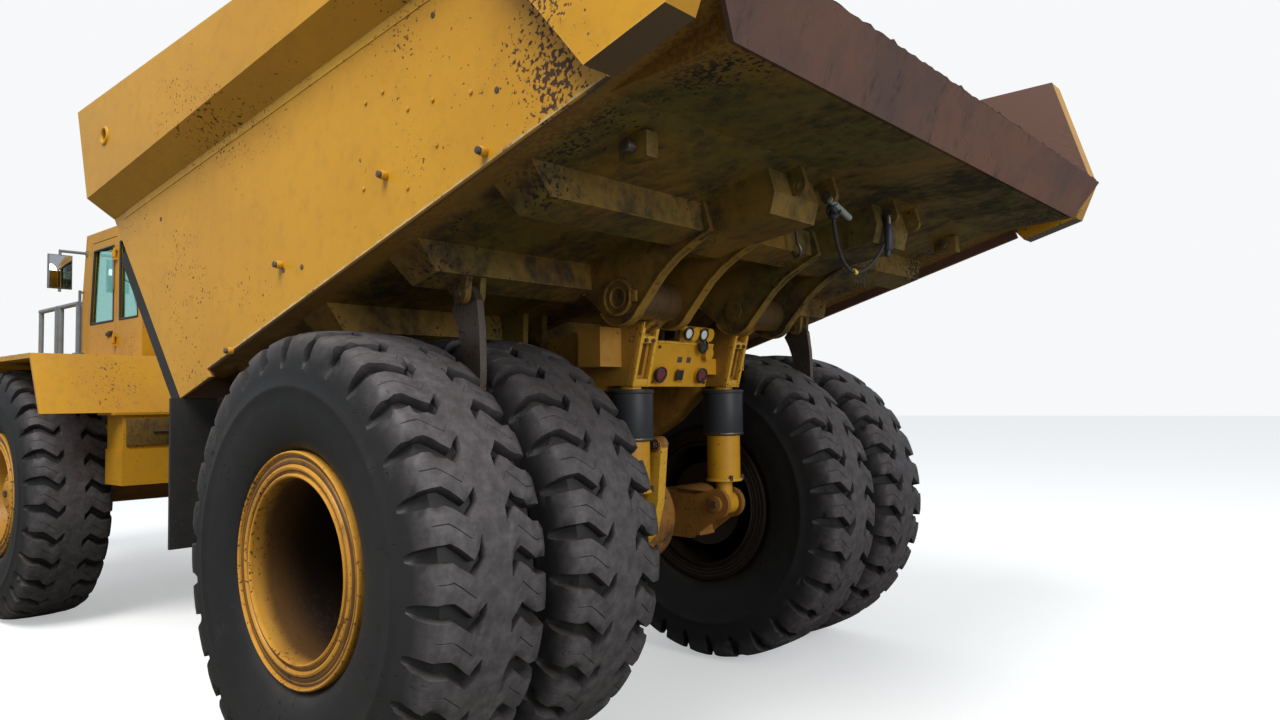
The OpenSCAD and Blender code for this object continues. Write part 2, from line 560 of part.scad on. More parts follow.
// Steering cylinders: pinned to the front frame, their rods' eyes in the hitch's arms
steer_foot = [950, 330, 100];
steer_span = norm(hitch_arm - steer_foot);
steer_turn = atan2(hitch_arm[1] - steer_foot[1], hitch_arm[0] - steer_foot[0]);
steer_barrel_l0 = 780;
module on_steer() rear() translate([hitch_x, 0, 0]) translate(steer_foot) rotate([0, 0, steer_turn]) children();
module steer_barrel() color(yellow) on_steer() difference() {
    union() {
        translate([0, 0, -48]) cylinder(r = 68, h = 96);
        bar_x(46, 40, 90);
        bar_x(steer_r, 82, steer_barrel_l0);
        bar_x(steer_r + 6, steer_barrel_l0 - 50, steer_barrel_l0);
    }
    translate([0, 0, -49]) cylinder(r = eye_pin_r + run, h = 98);
    bar_x(steer_rod_r + run, 110, steer_barrel_l0 + 1);
}
module steer_rod() color(steel) on_steer() {
    bar_x(steer_rod_r, 400, steer_span - 50);
    translate([steer_span, 0, -48]) cylinder(r = 66, h = 96);
}

// Front frame: rails, pivot plates, cross boxes and cylinder brackets, from the pivot
fl = front_rail_y - front_rail_w / 2;
fr = front_rail_y + front_rail_w / 2;
rail_top = 560;
axle_gap = 250;
front_rail = [[300, -205], [850, -205], [1130, axle_gap], [2050, axle_gap], [2450, 60],
    [pivot_back + rail_nose, 60], [pivot_back + rail_nose, rail_top], [650, rail_top], [300, 405]];
module pivot_plate(z) translate([0, 0, z]) linear_extrude(plate_t)
    polygon(concat(arc([0, 0], 170, 110, 250, 8), [[300, -fr], [520, -fr], [520, fr], [300, fr]]));
module front_frame() color(yellow) rear() translate([hitch_x, 0, 0]) {
    both() side(fl, fr) polygon(front_rail);
    pivot_plate(knuckle_z[1] + 6);
    pivot_plate(knuckle_z[0] - 6 - plate_t);
    for (c = [[1020, -20, 300], [2300, 200, 420], [3050, 300, 430],
        [pivot_back + rail_nose - 550, 300, 430], [pivot_back + rail_nose - 150, 60, 420]])
        block([c[0], -fl, c[1]], [c[0] + 140, fl, c[2]]);
    both() for (z = [steer_foot[2] - 78, steer_foot[2] + 50]) translate([0, 0, z]) linear_extrude(28)
        polygon(concat([[1030, 220], [1030, 440]], arc([steer_foot[0], steer_foot[1]], 75, 90, 270, 10)));
    translate([0, 0, knuckle_z[0] - 90]) cylinder(r = knuckle_r, h = knuckle_z[1] - knuckle_z[0] + 180);
    both() translate([steer_foot[0], steer_foot[1], steer_foot[2] - 90]) cylinder(r = eye_pin_r, h = 180);
}

// Front axle under its rails
module front_axle() color(rust) front() {
    both() bar_y(spindle_r, front_track - 360, front_track);
    bar_y(axle_r, -front_track + 330, front_track - 330);
    bar_y(280, -180, 180);
    translate([0, 0, -20]) bar_x(200, -240, 260);
    both() block([-90, fl, 100], [90, fr, axle_gap]);
}

// Engine block and its exhaust stack
module engine() color("#4a4a48") front() {
    block([hood_x[0] + 60, -380, 430], [hood_x[1] - 630, 380, 1010]);
    translate([-600, -1130, deck_up]) cylinder(r = 70, h = 1000);
}

// Hood: a shell that tilts forward with its grille
hood_x = [1290, nose_reach - 170];
hood_z = [640, 1440];
hood_side = concat([[hood_x[0], hood_z[0]], [hood_x[1] - 20, hood_z[0]]],
    arc([hood_x[1] - 160, 1010], 160, 0, 62, 6), [[hood_x[1] - 780, 1330], [hood_x[0], hood_z[1]]]);
hood_in = concat([[hood_x[0] - 1, hood_z[0] - 1], [hood_x[1] - 20 - hood_t, hood_z[0] - 1]],
    arc([hood_x[1] - 160, 1010], 160 - hood_t, 0, 62, 6),
    [[hood_x[1] - 780, 1330 - hood_t], [hood_x[0] - 1, hood_z[1] - hood_t]]);
module hood_front(w, top) polygon([[-w, hood_z[0] - 2], [w, hood_z[0] - 2], [w, top - 320], [w - 110, top],
    [110 - w, top], [-w, top - 320]]);
hood_pin = [nose_reach - 210, 605];
module hood() color(yellow) front() difference() {
    union() {
        hood_shell();
        both() block([hood_pin[0] - 45, 480, hood_pin[1] - 5], [hood_pin[0] + 20, 560, hood_z[0] + 20]);
        both() translate([hood_pin[0], 0, hood_pin[1]]) bar_y(32, 480, 560);
    }
    both() translate([hood_pin[0], 0, hood_pin[1]]) bar_y(18 + run, 400, 640);
}
module hood_shell() difference() {
    intersection() {
        side(-hood_y, hood_y) polygon(hood_side);
        along(hood_x[0], hood_x[1]) hood_front(hood_y, hood_z[1]);
    }
    intersection() {
        side(-hood_y, hood_y) polygon(hood_in);
        along(hood_x[0] - 2, hood_x[1]) hood_front(hood_y - hood_t, hood_z[1] - hood_t);
    }
    block([hood_x[1] - 200, -hood_y + 140, hood_z[0] + 60], [hood_x[1] + 10, hood_y - 140, 1000]);
}
module grille() color(black) front() {
    difference() {
        block([hood_x[1] - 60, -hood_y + 140, hood_z[0] + 60], [hood_x[1] - 25, hood_y - 140, 1000]);
        for (i = [0:6]) block([hood_x[1] - 70, -hood_y + 180, hood_z[0] + 85 + 42 * i],
            [hood_x[1] - 20, hood_y - 180, hood_z[0] + 105 + 42 * i]);
    }
}

// Decks over the front tyres with their flaps and legs
deck_out = front_track + tyre_w / 2 + 30;
deck_low = deck_up - 40;
step_x = 1370;
step_y = 1120;
step_w = 460;
step_rise = 215;
module front_decks() color(yellow) front() both() {
    side(cab_y + 20, deck_out) polygon([[-1420, 700], [-1385, 700], [-1150, deck_low], [1150, deck_low],
        [1380, rail_top], [1410, rail_top], [1200, deck_up], [-1160, deck_up]]);
    block([-900, fr - 100, rail_top], [-800, fr, deck_low]);
    block([-900, fr - 100, deck_low - 100], [-800, cab_y + 120, deck_low]);
    block([1300, fr - 100, rail_top], [1400, cab_y + 80, rail_top + 60]);
    for (y = [step_y, step_y + step_w - 20]) side(y, y + 20)
        polygon([[step_x, 600], [step_x + 25, 600], [step_x + 170, 540], [step_x + 170, -160], [step_x, -160]]);
    for (i = [0:3]) block([step_x + 6, step_y + 10, -150 + step_rise * i],
        [step_x + 160, step_y + step_w - 10, -125 + step_rise * i]);
}

// Bumper with steps and the tow hole
bumper_y = 1000;
lamp_r = 52;
module bumper() color(black) front() difference() {
    union() {
        block([bumper_x, -bumper_y, -150], [nose_reach, bumper_y, rail_top]);
        block([rail_nose, -fr, 60], [bumper_x + 20, fr, 420]);
        both() for (y = [440, 565]) {
            block([hood_pin[0] - 28, y, rail_top - 10], [hood_pin[0] + 28, y + 35, hood_pin[1]]);
            translate([hood_pin[0], 0, hood_pin[1]]) bar_y(28, y, y + 35);
        }
        both() translate([hood_pin[0], 0, hood_pin[1]]) bar_y(18, 440, 600);
    }
    both() difference() {
        block([nose_reach - 60, 640, 180], [nose_reach + 1, 900, 380]);
        for (y = [705, 835]) translate([0, y, 280]) bar_x(lamp_r, nose_reach - 70, nose_reach - 15);
    }
    translate([nose_reach - 110, 0, -151]) cylinder(r = tow_r, h = 712);
    block([nose_reach - 230, -200, 100], [nose_reach + 1, 200, 330]);
}

// Cab: shell with window openings, door, panes and seat
cab_x = [-400, -400 + cab_l];
cab_z = [935, 935 + cab_h];
sill = 1600;
eave = cab_z[1] - 170;
cab_side = [[cab_x[0], cab_z[0]], [cab_x[1], cab_z[0]], [cab_x[1], sill - 60], [cab_x[1] - 170, cab_z[1]],
    [cab_x[0], cab_z[1]]];
cab_in = [[cab_x[0] + cab_t, cab_z[0] + cab_t], [cab_x[1] - cab_t, cab_z[0] + cab_t],
    [cab_x[1] - cab_t, sill - 66], [cab_x[1] - 170 - cab_t, cab_z[1] - cab_t], [cab_x[0] + cab_t, cab_z[1] - cab_t]];
door_x = [250, 1010];
door_z = [1240, cab_z[1] - 110];
door_gap = 8;
door_win = [[door_x[0] + 70, sill], [door_x[1] - 70, sill], [door_x[1] - 160, eave - 20], [door_x[0] + 70, eave - 20]];
rear_win = [[cab_x[0] + 110, sill], [door_x[0] - 90, sill], [door_x[0] - 90, eave], [cab_x[0] + 110, eave]];
right_win = [[door_x[0] - 20, sill], [door_x[1] - 60, sill], [door_x[1] - 160, eave], [door_x[0] - 20, eave]];
door_hole = [[door_x[0] - door_gap, door_z[0] - door_gap], [door_x[1] + door_gap, door_z[0] - door_gap],
    [door_x[1] + door_gap, sill], [door_x[1] - 110 + door_gap, door_z[1] + door_gap],
    [door_x[0] - door_gap, door_z[1] + door_gap]];
door_leaf = [[door_x[0], door_z[0]], [door_x[1], door_z[0]], [door_x[1], sill], [door_x[1] - 110, door_z[1]],
    [door_x[0], door_z[1]]];
module cab_shell() color(yellow) front() {
    difference() {
        side(-cab_y, cab_y) polygon(cab_side);
        side(-cab_y + cab_t, cab_y - cab_t) polygon(cab_in);
        side(cab_y - cab_t - 1, cab_y + 1) polygon(door_hole);
        both() side(cab_y - cab_t - 1, cab_y + 1) polygon(rear_win);
        side(-cab_y - 1, -cab_y + cab_t + 1) polygon(right_win);
        block([cab_x[0] - 1, -cab_y + 160, sill], [cab_x[0] + cab_t + 1, cab_y - 160, eave]);
        windscreen(cab_t + 40);
    }
    both() for (x = [cab_x[0] + 100, cab_x[1] - 300]) block([x, fl, rail_top], [x + 160, fr, cab_z[0]]);
    for (z = door_knuckles) translate([door_pin[0], door_pin[1], z]) {
        translate([0, 0, -60]) cylinder(r = 9, h = 120);
        for (h = [-60, 35]) block([-30, cab_y - door_pin[1], h], [0, 0, h + 25]);
    }
}
door_pin = [door_x[0] - 4, cab_y + 25];
door_knuckles = [1400, 2250];
screen_lean = atan2(170, cab_z[1] - sill + 60);
module windscreen(t) translate([cab_x[1] - 23, 0, sill - 20]) rotate([0, -screen_lean, 0])
    block([-t / 2, -cab_y + 120, 0], [t / 2, cab_y - 120, 830]);
module cab_door() color(yellow) front() difference() {
    union() {
        side(cab_y - cab_t, cab_y) polygon(door_leaf);
        for (z = door_knuckles) {
            translate([door_pin[0], door_pin[1], z - 30]) cylinder(r = 18, h = 60);
            block([door_x[0], cab_y - 1, z - 30], [door_x[0] + 60, door_pin[1], z + 30]);
        }
    }
    for (z = door_knuckles) translate([door_pin[0], door_pin[1], z - 31]) cylinder(r = 9 + run, h = 62);
    side(cab_y - cab_t - 1, cab_y + 1) polygon(door_win);
    block([door_x[0] + 80, cab_y - 20, 1440], [door_x[0] + 220, cab_y + 1, 1500]);
}
glass_t = 8;
module cab_glass() color("#5f8f8c80") front() {
    both() side(cab_y - 29, cab_y - 29 + glass_t) polygon(rear_win);
    side(-cab_y + 21, -cab_y + 21 + glass_t) polygon(right_win);
    block([cab_x[0] + 21, -cab_y + 160, sill], [cab_x[0] + 21 + glass_t, cab_y - 160, eave]);
    windscreen(glass_t);
}
module door_glass() color("#5f8f8c80") front() side(cab_y - 29, cab_y - 29 + glass_t) polygon(door_win);
module cab_interior() color(black) front() {
    block([-50, -260, cab_z[0] + cab_t], [350, 260, 1280]);
    block([-80, -250, 1280], [430, 250, 1400]);
    block([-150, -240, 1400], [-30, 240, 2050]);
    block([900, -600, cab_z[0] + cab_t], [1150, 600, 1500]);
}

// Boxes behind the decks: fuel tank, air tank frame and white locker
module service_boxes() color(yellow) front() both() {
    block([-1480, 850, 110], [-1120, 1500, 400]);
    block([-1470, 860, 400], [-1130, 1490, 680]);
    block([-1490, 840, 680], [-1110, 1560, 700]);
    block([-1250, fr, -80], [-1120, 850, 350]);
}

// Grab rails on the decks and mirrors on the cab
module hoop(x, y) {
    for (q = [x, x + 420]) translate([q, y, deck_up]) cylinder(r = grab_r, h = 420);
    translate([x, y, deck_up + 420]) bar_x(grab_r, -grab_r, 420 + grab_r);
}
module grab_rails() color(steel) front() both() {
    hoop(-1080, 1700);
    hoop(-560, 1700);
    block([1035, cab_y, 2325], [1085, cab_y + 12, 2375]);
    translate([1060, 0, 2350]) bar_y(15, cab_y + 6, cab_y + 260);
    translate([1060, cab_y + 250, 1930]) cylinder(r = 14, h = 420);
    block([1050, cab_y + 140, 1960], [1070, cab_y + 360, 2310]);
}

module left_right(s) { if (s > 0) children(); else mirror([0, 1, 0]) children(); }
rear_frame();
tail_panel();
rear_axle();
rear_struts();
bin_floor();
bin_walls();
bin_headboard();
bin_rails();
tail_fascia();
bin_frame();
bin_rubbers();
cable();
cable_ends();
rock_ejector();  // rock_ejector_l
left_right(-1) rock_ejector();  // rock_ejector_r
hoist_barrel();  // hoist_barrel_l
left_right(-1) hoist_barrel();  // hoist_barrel_r
hoist_rod();  // hoist_rod_l
left_right(-1) hoist_rod();  // hoist_rod_r
rear_tyres(1);  // rear_tyres_l
rear_tyres(-1);  // rear_tyres_r
rear_rims();  // rear_rims_l
left_right(-1) rear_rims();  // rear_rims_r
front_tyre(1);  // front_tyre_l
front_tyre(-1);  // front_tyre_r
front_rim();  // front_rim_l
left_right(-1) front_rim();  // front_rim_r
hitch();
steer_barrel();  // steer_barrel_l
left_right(-1) steer_barrel();  // steer_barrel_r
steer_rod();  // steer_rod_l
left_right(-1) steer_rod();  // steer_rod_r
front_frame();
front_axle();
engine();
hood();
grille();
front_decks();
bumper();
cab_shell();
cab_door();
cab_glass();
door_glass();
cab_interior();
service_boxes();
grab_rails();
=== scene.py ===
# %% [markdown]
# # An articulated dump truck
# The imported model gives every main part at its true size. This script dresses it: it keeps
# each part where it is, gives it paint, rust, rubber or glass, and adds the pieces that are too
# fine for the solids, such as tyre treads, bolts, lamps and hoses.

# %% Load the frame
import math

import bpy
import numpy as np
from mathutils import Matrix, Vector


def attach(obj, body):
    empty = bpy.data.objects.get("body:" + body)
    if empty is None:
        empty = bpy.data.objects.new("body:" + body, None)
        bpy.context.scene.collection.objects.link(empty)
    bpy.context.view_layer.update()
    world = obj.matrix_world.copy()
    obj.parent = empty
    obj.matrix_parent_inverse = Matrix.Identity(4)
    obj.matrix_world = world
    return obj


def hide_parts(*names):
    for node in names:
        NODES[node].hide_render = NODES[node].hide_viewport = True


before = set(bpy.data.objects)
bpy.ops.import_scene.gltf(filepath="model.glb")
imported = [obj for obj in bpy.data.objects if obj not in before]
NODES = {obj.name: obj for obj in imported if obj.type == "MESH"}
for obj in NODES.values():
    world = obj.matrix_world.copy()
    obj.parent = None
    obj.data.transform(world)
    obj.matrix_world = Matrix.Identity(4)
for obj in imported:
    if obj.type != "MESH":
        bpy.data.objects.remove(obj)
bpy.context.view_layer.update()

# %% [markdown]
# ## The camera
# The photograph was taken standing behind the truck, left of it and low. A camera is only a
# place, a direction and a lens, so three angles and a focal length are enough.

# %% Place the camera
EYE = Vector((-7.0385, 4.2749, 1.8275))
YAW, PITCH, ROLL = (math.radians(a) for a in (-49.51, 2.6, -0.765))
LENS_MM = 25.14
FARTHEST = 200


def aim(yaw, pitch, roll):
    """The camera's axes: right, up and back."""
    ahead = Vector((math.cos(pitch) * math.cos(yaw), math.cos(pitch) * math.sin(yaw), math.sin(pitch)))
    right = ahead.cross(Vector((0, 0, 1))).normalized()
    up = right.cross(ahead)
    return right * math.cos(roll) + up * math.sin(roll), up * math.cos(roll) - right * math.sin(roll), -ahead


def in_scene(name, data):
    """A new object in the scene from its data."""
    made = bpy.data.objects.new(name, data)
    bpy.context.scene.collection.objects.link(made)
    return made


camera = in_scene("camera", bpy.data.cameras.new("camera"))
camera.data.lens = LENS_MM
camera.data.clip_end = FARTHEST
camera.matrix_world = Matrix.Translation(EYE) @ Matrix(aim(YAW, PITCH, ROLL)).transposed().to_4x4()
bpy.context.scene.camera = camera
print("camera at", tuple(round(x, 2) for x in EYE))

# %% [markdown]
# ## The slack cable
# One free cable hangs between two lugs under the tail. It is a curve with a round section: its
# line is the cable's own middle, so its length can be measured straight from it.

# %% Hang the cable
REAR = Vector((-3.2, 0, 1.087))  # middle of the rear axle
CABLE_D = 0.02
CABLE = [(-1.6789, .225, 1.69), (-1.6789, .225, 1.662), (-1.675, .214, 1.63), (-1.669, .196, 1.596),
         (-1.661, .172, 1.563), (-1.652, .141, 1.531), (-1.642, .103, 1.501), (-1.631, .058, 1.473),
         (-1.621, .007, 1.449), (-1.612, -.048, 1.431), (-1.605, -.105, 1.421), (-1.601, -.162, 1.42),
         (-1.602, -.217, 1.429), (-1.607, -.268, 1.448), (-1.616, -.313, 1.476), (-1.629, -.351, 1.513),
         (-1.645, -.381, 1.557), (-1.661, -.402, 1.606), (-1.6789, -.415, 1.656), (-1.6789, -.415, 1.69)]
LOWEST = 11  # the cable's lowest point


def curve(name, points, radius, body):
    """A round bar or cable along points of the truck."""
    data = bpy.data.curves.new(name, "CURVE")
    # The points carry the radius, so the bevel itself stays at 1
    data.dimensions, data.bevel_depth, data.bevel_resolution, data.use_fill_caps = "3D", 1.0, 3, True
    line = data.splines.new("POLY")
    line.points.add(len(points) - 1)
    for point, at in zip(line.points, points):
        point.co = (*at, 1)
        point.radius = radius
    made = in_scene(name, data)
    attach(made, body)
    return made


cable_points = [REAR + Vector(p) for p in CABLE]
slack_cable = curve("slack_cable", cable_points, CABLE_D / 2, "bin")
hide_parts("cable")

# %% [markdown]
# ## Floor and light
# The floor looks pale and plain, but it sends back as little light as turf does, so the truck's
# underside stays dark. A cloudy sky gives soft light from all around and a little more from
# above, so the world is a pale blue, one wide lamp stands high on the camera's side, and a
# weaker one stands low behind the tail.

# %% Set up the studio
def feed(tree, node, values):
    """Fill a node's inputs: another node's output is linked, anything else is set."""
    for key, value in values.items():
        socket = node.inputs[key]
        if isinstance(value, bpy.types.NodeSocket):
            tree.links.new(value, socket)
        else:
            socket.default_value = (*value, 1) if socket.type == "RGBA" else value  # a colour needs its alpha
    return node


def add(tree, kind, values=None, **settings):
    """A new shader node with its settings and inputs."""
    node = tree.nodes.new("ShaderNode" + kind)
    for key, value in settings.items():
        setattr(node, key, value)
    return feed(tree, node, values or {})


def new_finish(name):
    """A new material: itself, its node tree and its main shader."""
    material = bpy.data.materials.new(name)
    material.use_nodes = True
    return material, material.node_tree, material.node_tree.nodes["Principled BSDF"]


def lamp(name, place, target, size, power):
    """A round soft lamp that faces a point."""
    data = bpy.data.lights.new(name, "AREA")
    data.shape, data.size, data.energy = "DISK", size, power
    made = in_scene(name, data)
    made.location = place
    made.rotation_euler = (Vector(target) - Vector(place)).to_track_quat("-Z", "Y").to_euler()


bpy.context.scene.view_settings.view_transform = "Standard"
world = bpy.data.worlds.new("sky")
world.use_nodes = True
bpy.context.scene.world = world
sky = world.node_tree
sky.nodes.clear()
path = add(sky, "LightPath").outputs
seen = add(sky, "Math", {0: path["Is Camera Ray"], 1: path["Is Transmission Ray"]}, operation="MAXIMUM")
light = add(sky, "Background", {"Color": (.92, .96, 1), "Strength": .58})
backdrop = add(sky, "Background", {"Color": (.93, .94, .95), "Strength": 1.0})
mixed = add(sky, "MixShader", {0: seen.outputs[0], 1: light.outputs[0], 2: backdrop.outputs[0]})
add(sky, "OutputWorld", {"Surface": mixed.outputs[0]})
lamp("sky_patch", (-6, 9, 14), (-1, 0, 1), 9, 2350)
lamp("rear_fill", (-16, 2, 5), (-3, 0, 2), 8, 760)

bpy.ops.mesh.primitive_plane_add(size=160)
floor = bpy.context.object
floor.name = "studio_floor"
ground, tree, pale = new_finish("pale_floor")
feed(tree, pale, {"Base Color": (.8, .8, .79), "Roughness": .9, "Emission Color": (.93, .95, .96),
                  "Emission Strength": .42})
turf = add(tree, "BsdfDiffuse", {"Color": (.19, .19, .16)})
view = add(tree, "LightPath").outputs["Is Camera Ray"]
look = add(tree, "MixShader", {0: view, 1: turf.outputs[0], 2: pale.outputs[0]})
feed(tree, tree.nodes["Material Output"], {"Surface": look.outputs[0]})
floor.data.materials.append(ground)
print("lights:", len(bpy.data.lights), "floor:", floor.name)

# %% [markdown]
# ## Patterns of wear
# Old paint is never one colour. It fades in wide patches, chips into small dark pits, wears
# through along edges and gathers soot and dust. Each of these is one node group with named
# inputs, and every finish below places the same groups with its own values.

# %% Short names for the nodes of a pattern
def new_group(name, **values):
    """A node group that reads a place and its values, and puts out a mask."""
    group = bpy.data.node_groups.new(name, "ShaderNodeTree")
    group.interface.new_socket("Vector", in_out="INPUT", socket_type="NodeSocketVector")
    for title, value in values.items():
        socket = group.interface.new_socket(title, in_out="INPUT", socket_type="NodeSocketFloat")
        socket.default_value = value
    group.interface.new_socket("Mask", in_out="OUTPUT", socket_type="NodeSocketFloat")
    return group, group.nodes.new("NodeGroupInput").outputs, group.nodes.new("NodeGroupOutput")


def place(tree, group, where, **values):
    """A group placed in a tree with its values; gives its mask."""
    return add(tree, "Group", {"Vector": where, **values}, node_tree=group).outputs[0]


def calc(tree, operation, a, b=0.0, clamp=False):
    return add(tree, "Math", {0: a, 1: b}, operation=operation, use_clamp=clamp).outputs[0]


def times(tree, a, b):
    return calc(tree, "MULTIPLY", a, b)


def less(tree, a, b):
    return calc(tree, "SUBTRACT", a, b)


def ramp(tree, value, low, high, to_low=0.0, to_high=1.0):
    """Smooth step of a value between two limits."""
    return add(tree, "MapRange", {0: value, 1: low, 2: high, 3: to_low, 4: to_high},
               interpolation_type="SMOOTHSTEP").outputs[0]


def noise(tree, vector, scale, detail=4.0, rough=.55, distort=0.0):
    return add(tree, "TexNoise", {"Vector": vector, "Scale": scale, "Detail": detail, "Roughness": rough,
                                  "Distortion": distort}).outputs["Fac"]


def blend(tree, share, a, b):
    """The first colour, turning into the second as the share goes to 1."""
    return add(tree, "Mix", {0: share, 6: a, 7: b}, data_type="RGBA").outputs[2]


# %% Pits of rust, and grime that runs down
EDGE_WIDTH = .012
PITS, ins, out = new_group("rust_pits", Scale=40.0, Amount=.3)
fine = noise(PITS, ins["Vector"], ins["Scale"], 3.0, .6)
wide = noise(PITS, ins["Vector"], 1.7, 3.0, .6)
cluster = times(PITS, ramp(PITS, wide, .35, .75), .16)
limit = less(PITS, .76, calc(PITS, "ADD", cluster, times(PITS, ins["Amount"], .2)))
feed(PITS, out, {"Mask": calc(PITS, "MULTIPLY", less(PITS, fine, limit), 22.0, True)})

GRIME, ins, out = new_group("grime", Scale=1.5, Streak=.3, Amount=.5)
squeeze = add(GRIME, "CombineXYZ", {0: 1.0, 1: 1.0, 2: ins["Streak"]}).outputs[0]
runs = add(GRIME, "VectorMath", {0: ins["Vector"], 1: squeeze}, operation="MULTIPLY").outputs[0]
first = noise(GRIME, runs, ins["Scale"], 6.0, .65, .3)
second = noise(GRIME, runs, times(GRIME, ins["Scale"], 9.0), 3.0, .6)
both = calc(GRIME, "ADD", times(GRIME, first, .72), times(GRIME, second, .28))
start = less(GRIME, .72, times(GRIME, ins["Amount"], .45))
full = less(GRIME, .86, times(GRIME, ins["Amount"], .32))
feed(GRIME, out, {"Mask": ramp(GRIME, both, start, full)})

# %% Worn edges, and dust that lies on top
EDGES, ins, out = new_group("worn_edges", Width=EDGE_WIDTH, Amount=.5)
soft = add(EDGES, "Bevel", {"Radius": ins["Width"]}, samples=3)
flat = add(EDGES, "NewGeometry")
turn = add(EDGES, "VectorMath", {0: soft.outputs[0], 1: flat.outputs["Normal"]}, operation="DOT_PRODUCT")
edge = ramp(EDGES, less(EDGES, 1.0, turn.outputs["Value"]), .01, .12)
patchy = noise(EDGES, ins["Vector"], 14.0, 4.0, .7)
broken = ramp(EDGES, patchy, less(EDGES, .7, times(EDGES, ins["Amount"], .5)), .72)
feed(EDGES, out, {"Mask": times(EDGES, edge, broken)})

LIE, ins, out = new_group("lying_dust", Amount=.5)
tilt = add(LIE, "SeparateXYZ", {0: add(LIE, "NewGeometry").outputs["Normal"]}).outputs[2]
up = ramp(LIE, tilt, .1, .95)
lying = times(LIE, up, ramp(LIE, noise(LIE, ins["Vector"], 5.0, 5.0, .6), .25, .8))
feed(LIE, out, {"Mask": calc(LIE, "MULTIPLY", lying, ins["Amount"], True)})
print("groups:", [g.name for g in (PITS, GRIME, EDGES, LIE)])

# %% [markdown]
# ## Paint
# One recipe makes all the painted finishes: a base colour that drifts towards a faded one, then
# grime, pits, worn edges and dust on top, each with a colour and an amount.

# %% The recipe
RUST, SOOT, DUST = (.105, .042, .02), (.012, .011, .01), (.3, .24, .16)


def paint(name, base, faded, grime=.4, dirt=SOOT, patches=1.5, streak=.35, pits=.2, pit_scale=45.0, rust=RUST,
          edges=.3, bare=None, dust=.25, rough=(.42, .75), bump=.25, fade_scale=.8, metal=0.0, spots=()):
    """A worn coat of paint.

    Grime has a colour and the scale and streak of its patches; pits show rust, and worn edges bare metal
    or rust; spots are (middle, reach) of places with many more pits."""
    material, tree, shader = new_finish(name)
    where = add(tree, "TexCoord").outputs["Object"]
    fade = ramp(tree, noise(tree, where, fade_scale, 5.0, .6, .4), .35, .7)
    colour = blend(tree, fade, base, faded)
    mottle = ramp(tree, noise(tree, where, 11.0, 5.0, .7), .45, .8)
    colour = blend(tree, times(tree, mottle, .25), colour, dirt)
    dirty = place(tree, GRIME, where, Scale=patches, Streak=streak, Amount=grime)
    colour = blend(tree, times(tree, dirty, .88), colour, dirt)
    pitted = pits
    for middle, reach in spots:
        away = add(tree, "VectorMath", {0: where, 1: middle}, operation="DISTANCE").outputs["Value"]
        pitted = calc(tree, "ADD", pitted, ramp(tree, away, reach * .15, reach, .95, 0.0))
    pit = place(tree, PITS, where, Scale=pit_scale, Amount=pitted)
    colour = blend(tree, pit, colour, rust)
    if edges:
        worn = place(tree, EDGES, where, Width=EDGE_WIDTH, Amount=edges)
        colour = blend(tree, worn, colour, bare or rust)
    if dust:
        lying = place(tree, LIE, where, Amount=dust)
        colour = blend(tree, lying, colour, DUST)
    matt = ramp(tree, calc(tree, "MAXIMUM", dirty, pit), 0.0, 1.0, *rough)
    grain = less(tree, times(tree, noise(tree, where, 60.0, 3.0), .3), pit)
    bumped = add(tree, "Bump", {"Strength": bump, "Distance": .003, "Height": grain})
    feed(tree, shader, {"Base Color": colour, "Roughness": matt, "Metallic": metal, "Specular IOR Level": .3,
                        "Normal": bumped.outputs[0]})
    return material


def coat(material, colour, amount, *masks):
    """Blend a finish towards a colour where every mask holds: (Object or Normal, axis, from, to)."""
    tree = material.node_tree
    shader = tree.nodes["Principled BSDF"]
    share = amount
    for kind, axis, low, high in masks:
        value = add(tree, "SeparateXYZ", {0: add(tree, "TexCoord").outputs[kind]}).outputs[axis]
        if kind == "Object":
            value = calc(tree, "ABSOLUTE", value)
        share = times(tree, share, ramp(tree, value, low, high))
    under = shader.inputs["Base Color"].links[0].from_socket
    feed(tree, shader, {"Base Color": blend(tree, share, under, colour)})


# %% Paint of the bin
YELLOW, FADED = (.59, .29, .014), (.51, .245, .014)
bin_side = paint(
    "bin_side_paint", YELLOW, FADED, .12, (.22, .1, .02), pits=.18, pit_scale=48,
    rust=(.075, .034, .018), edges=.55, bare=(.6, .42, .2), dust=.1, rough=(.38, .7),
    spots=[((-4.8, side * 2.08, 3.08), .52) for side in (1, -1)])
bin_under = paint(
    "bin_underside_paint", (.22, .115, .016), (.11, .086, .015), grime=.66, patches=1.6, streak=.8, pits=.2,
    rust=(.02, .014, .01), edges=.6, bare=(.26, .12, .02), dust=0, rough=(.6, .85),
    spots=[((x, side * 1.9, z), .5) for side in (1, -1) for x, z in ((-5.35, 3.0), (-4.6, 2.75), (-3.8, 2.5))])
tail_rust = paint(
    "rusted_plate", (.145, .068, .048), (.082, .052, .045), .42, (.026, .02, .018), patches=7,
    streak=.1, fade_scale=1.6, pits=.12, pit_scale=30, rust=(.15, .065, .035), dust=.1,
    rough=(.72, .9), bump=.6)
hinge_paint = paint("hinge_arm_paint", (.25, .135, .018), (.13, .08, .014), grime=.55, patches=4, pits=.3,
                    dust=0, rough=(.55, .8))
chipped_edge = paint("worn_edge", (.62, .46, .24), (.4, .24, .08), grime=.5, patches=7, pits=.3, edges=0,
                     dust=0)
crust = paint("rust_crust", (.03, .021, .018), (.075, .045, .032), grime=.3, patches=8, pits=0, edges=0,
              dust=0, rough=(.8, .95))
# The floor's underside is ochre near the walls; on top it is bare and brown
coat(bin_under, (.26, .125, .02), .55, ("Object", 1, 1.8, 1.93))
coat(bin_under, (.115, .07, .046), .9, ("Normal", 2, .5, .8))
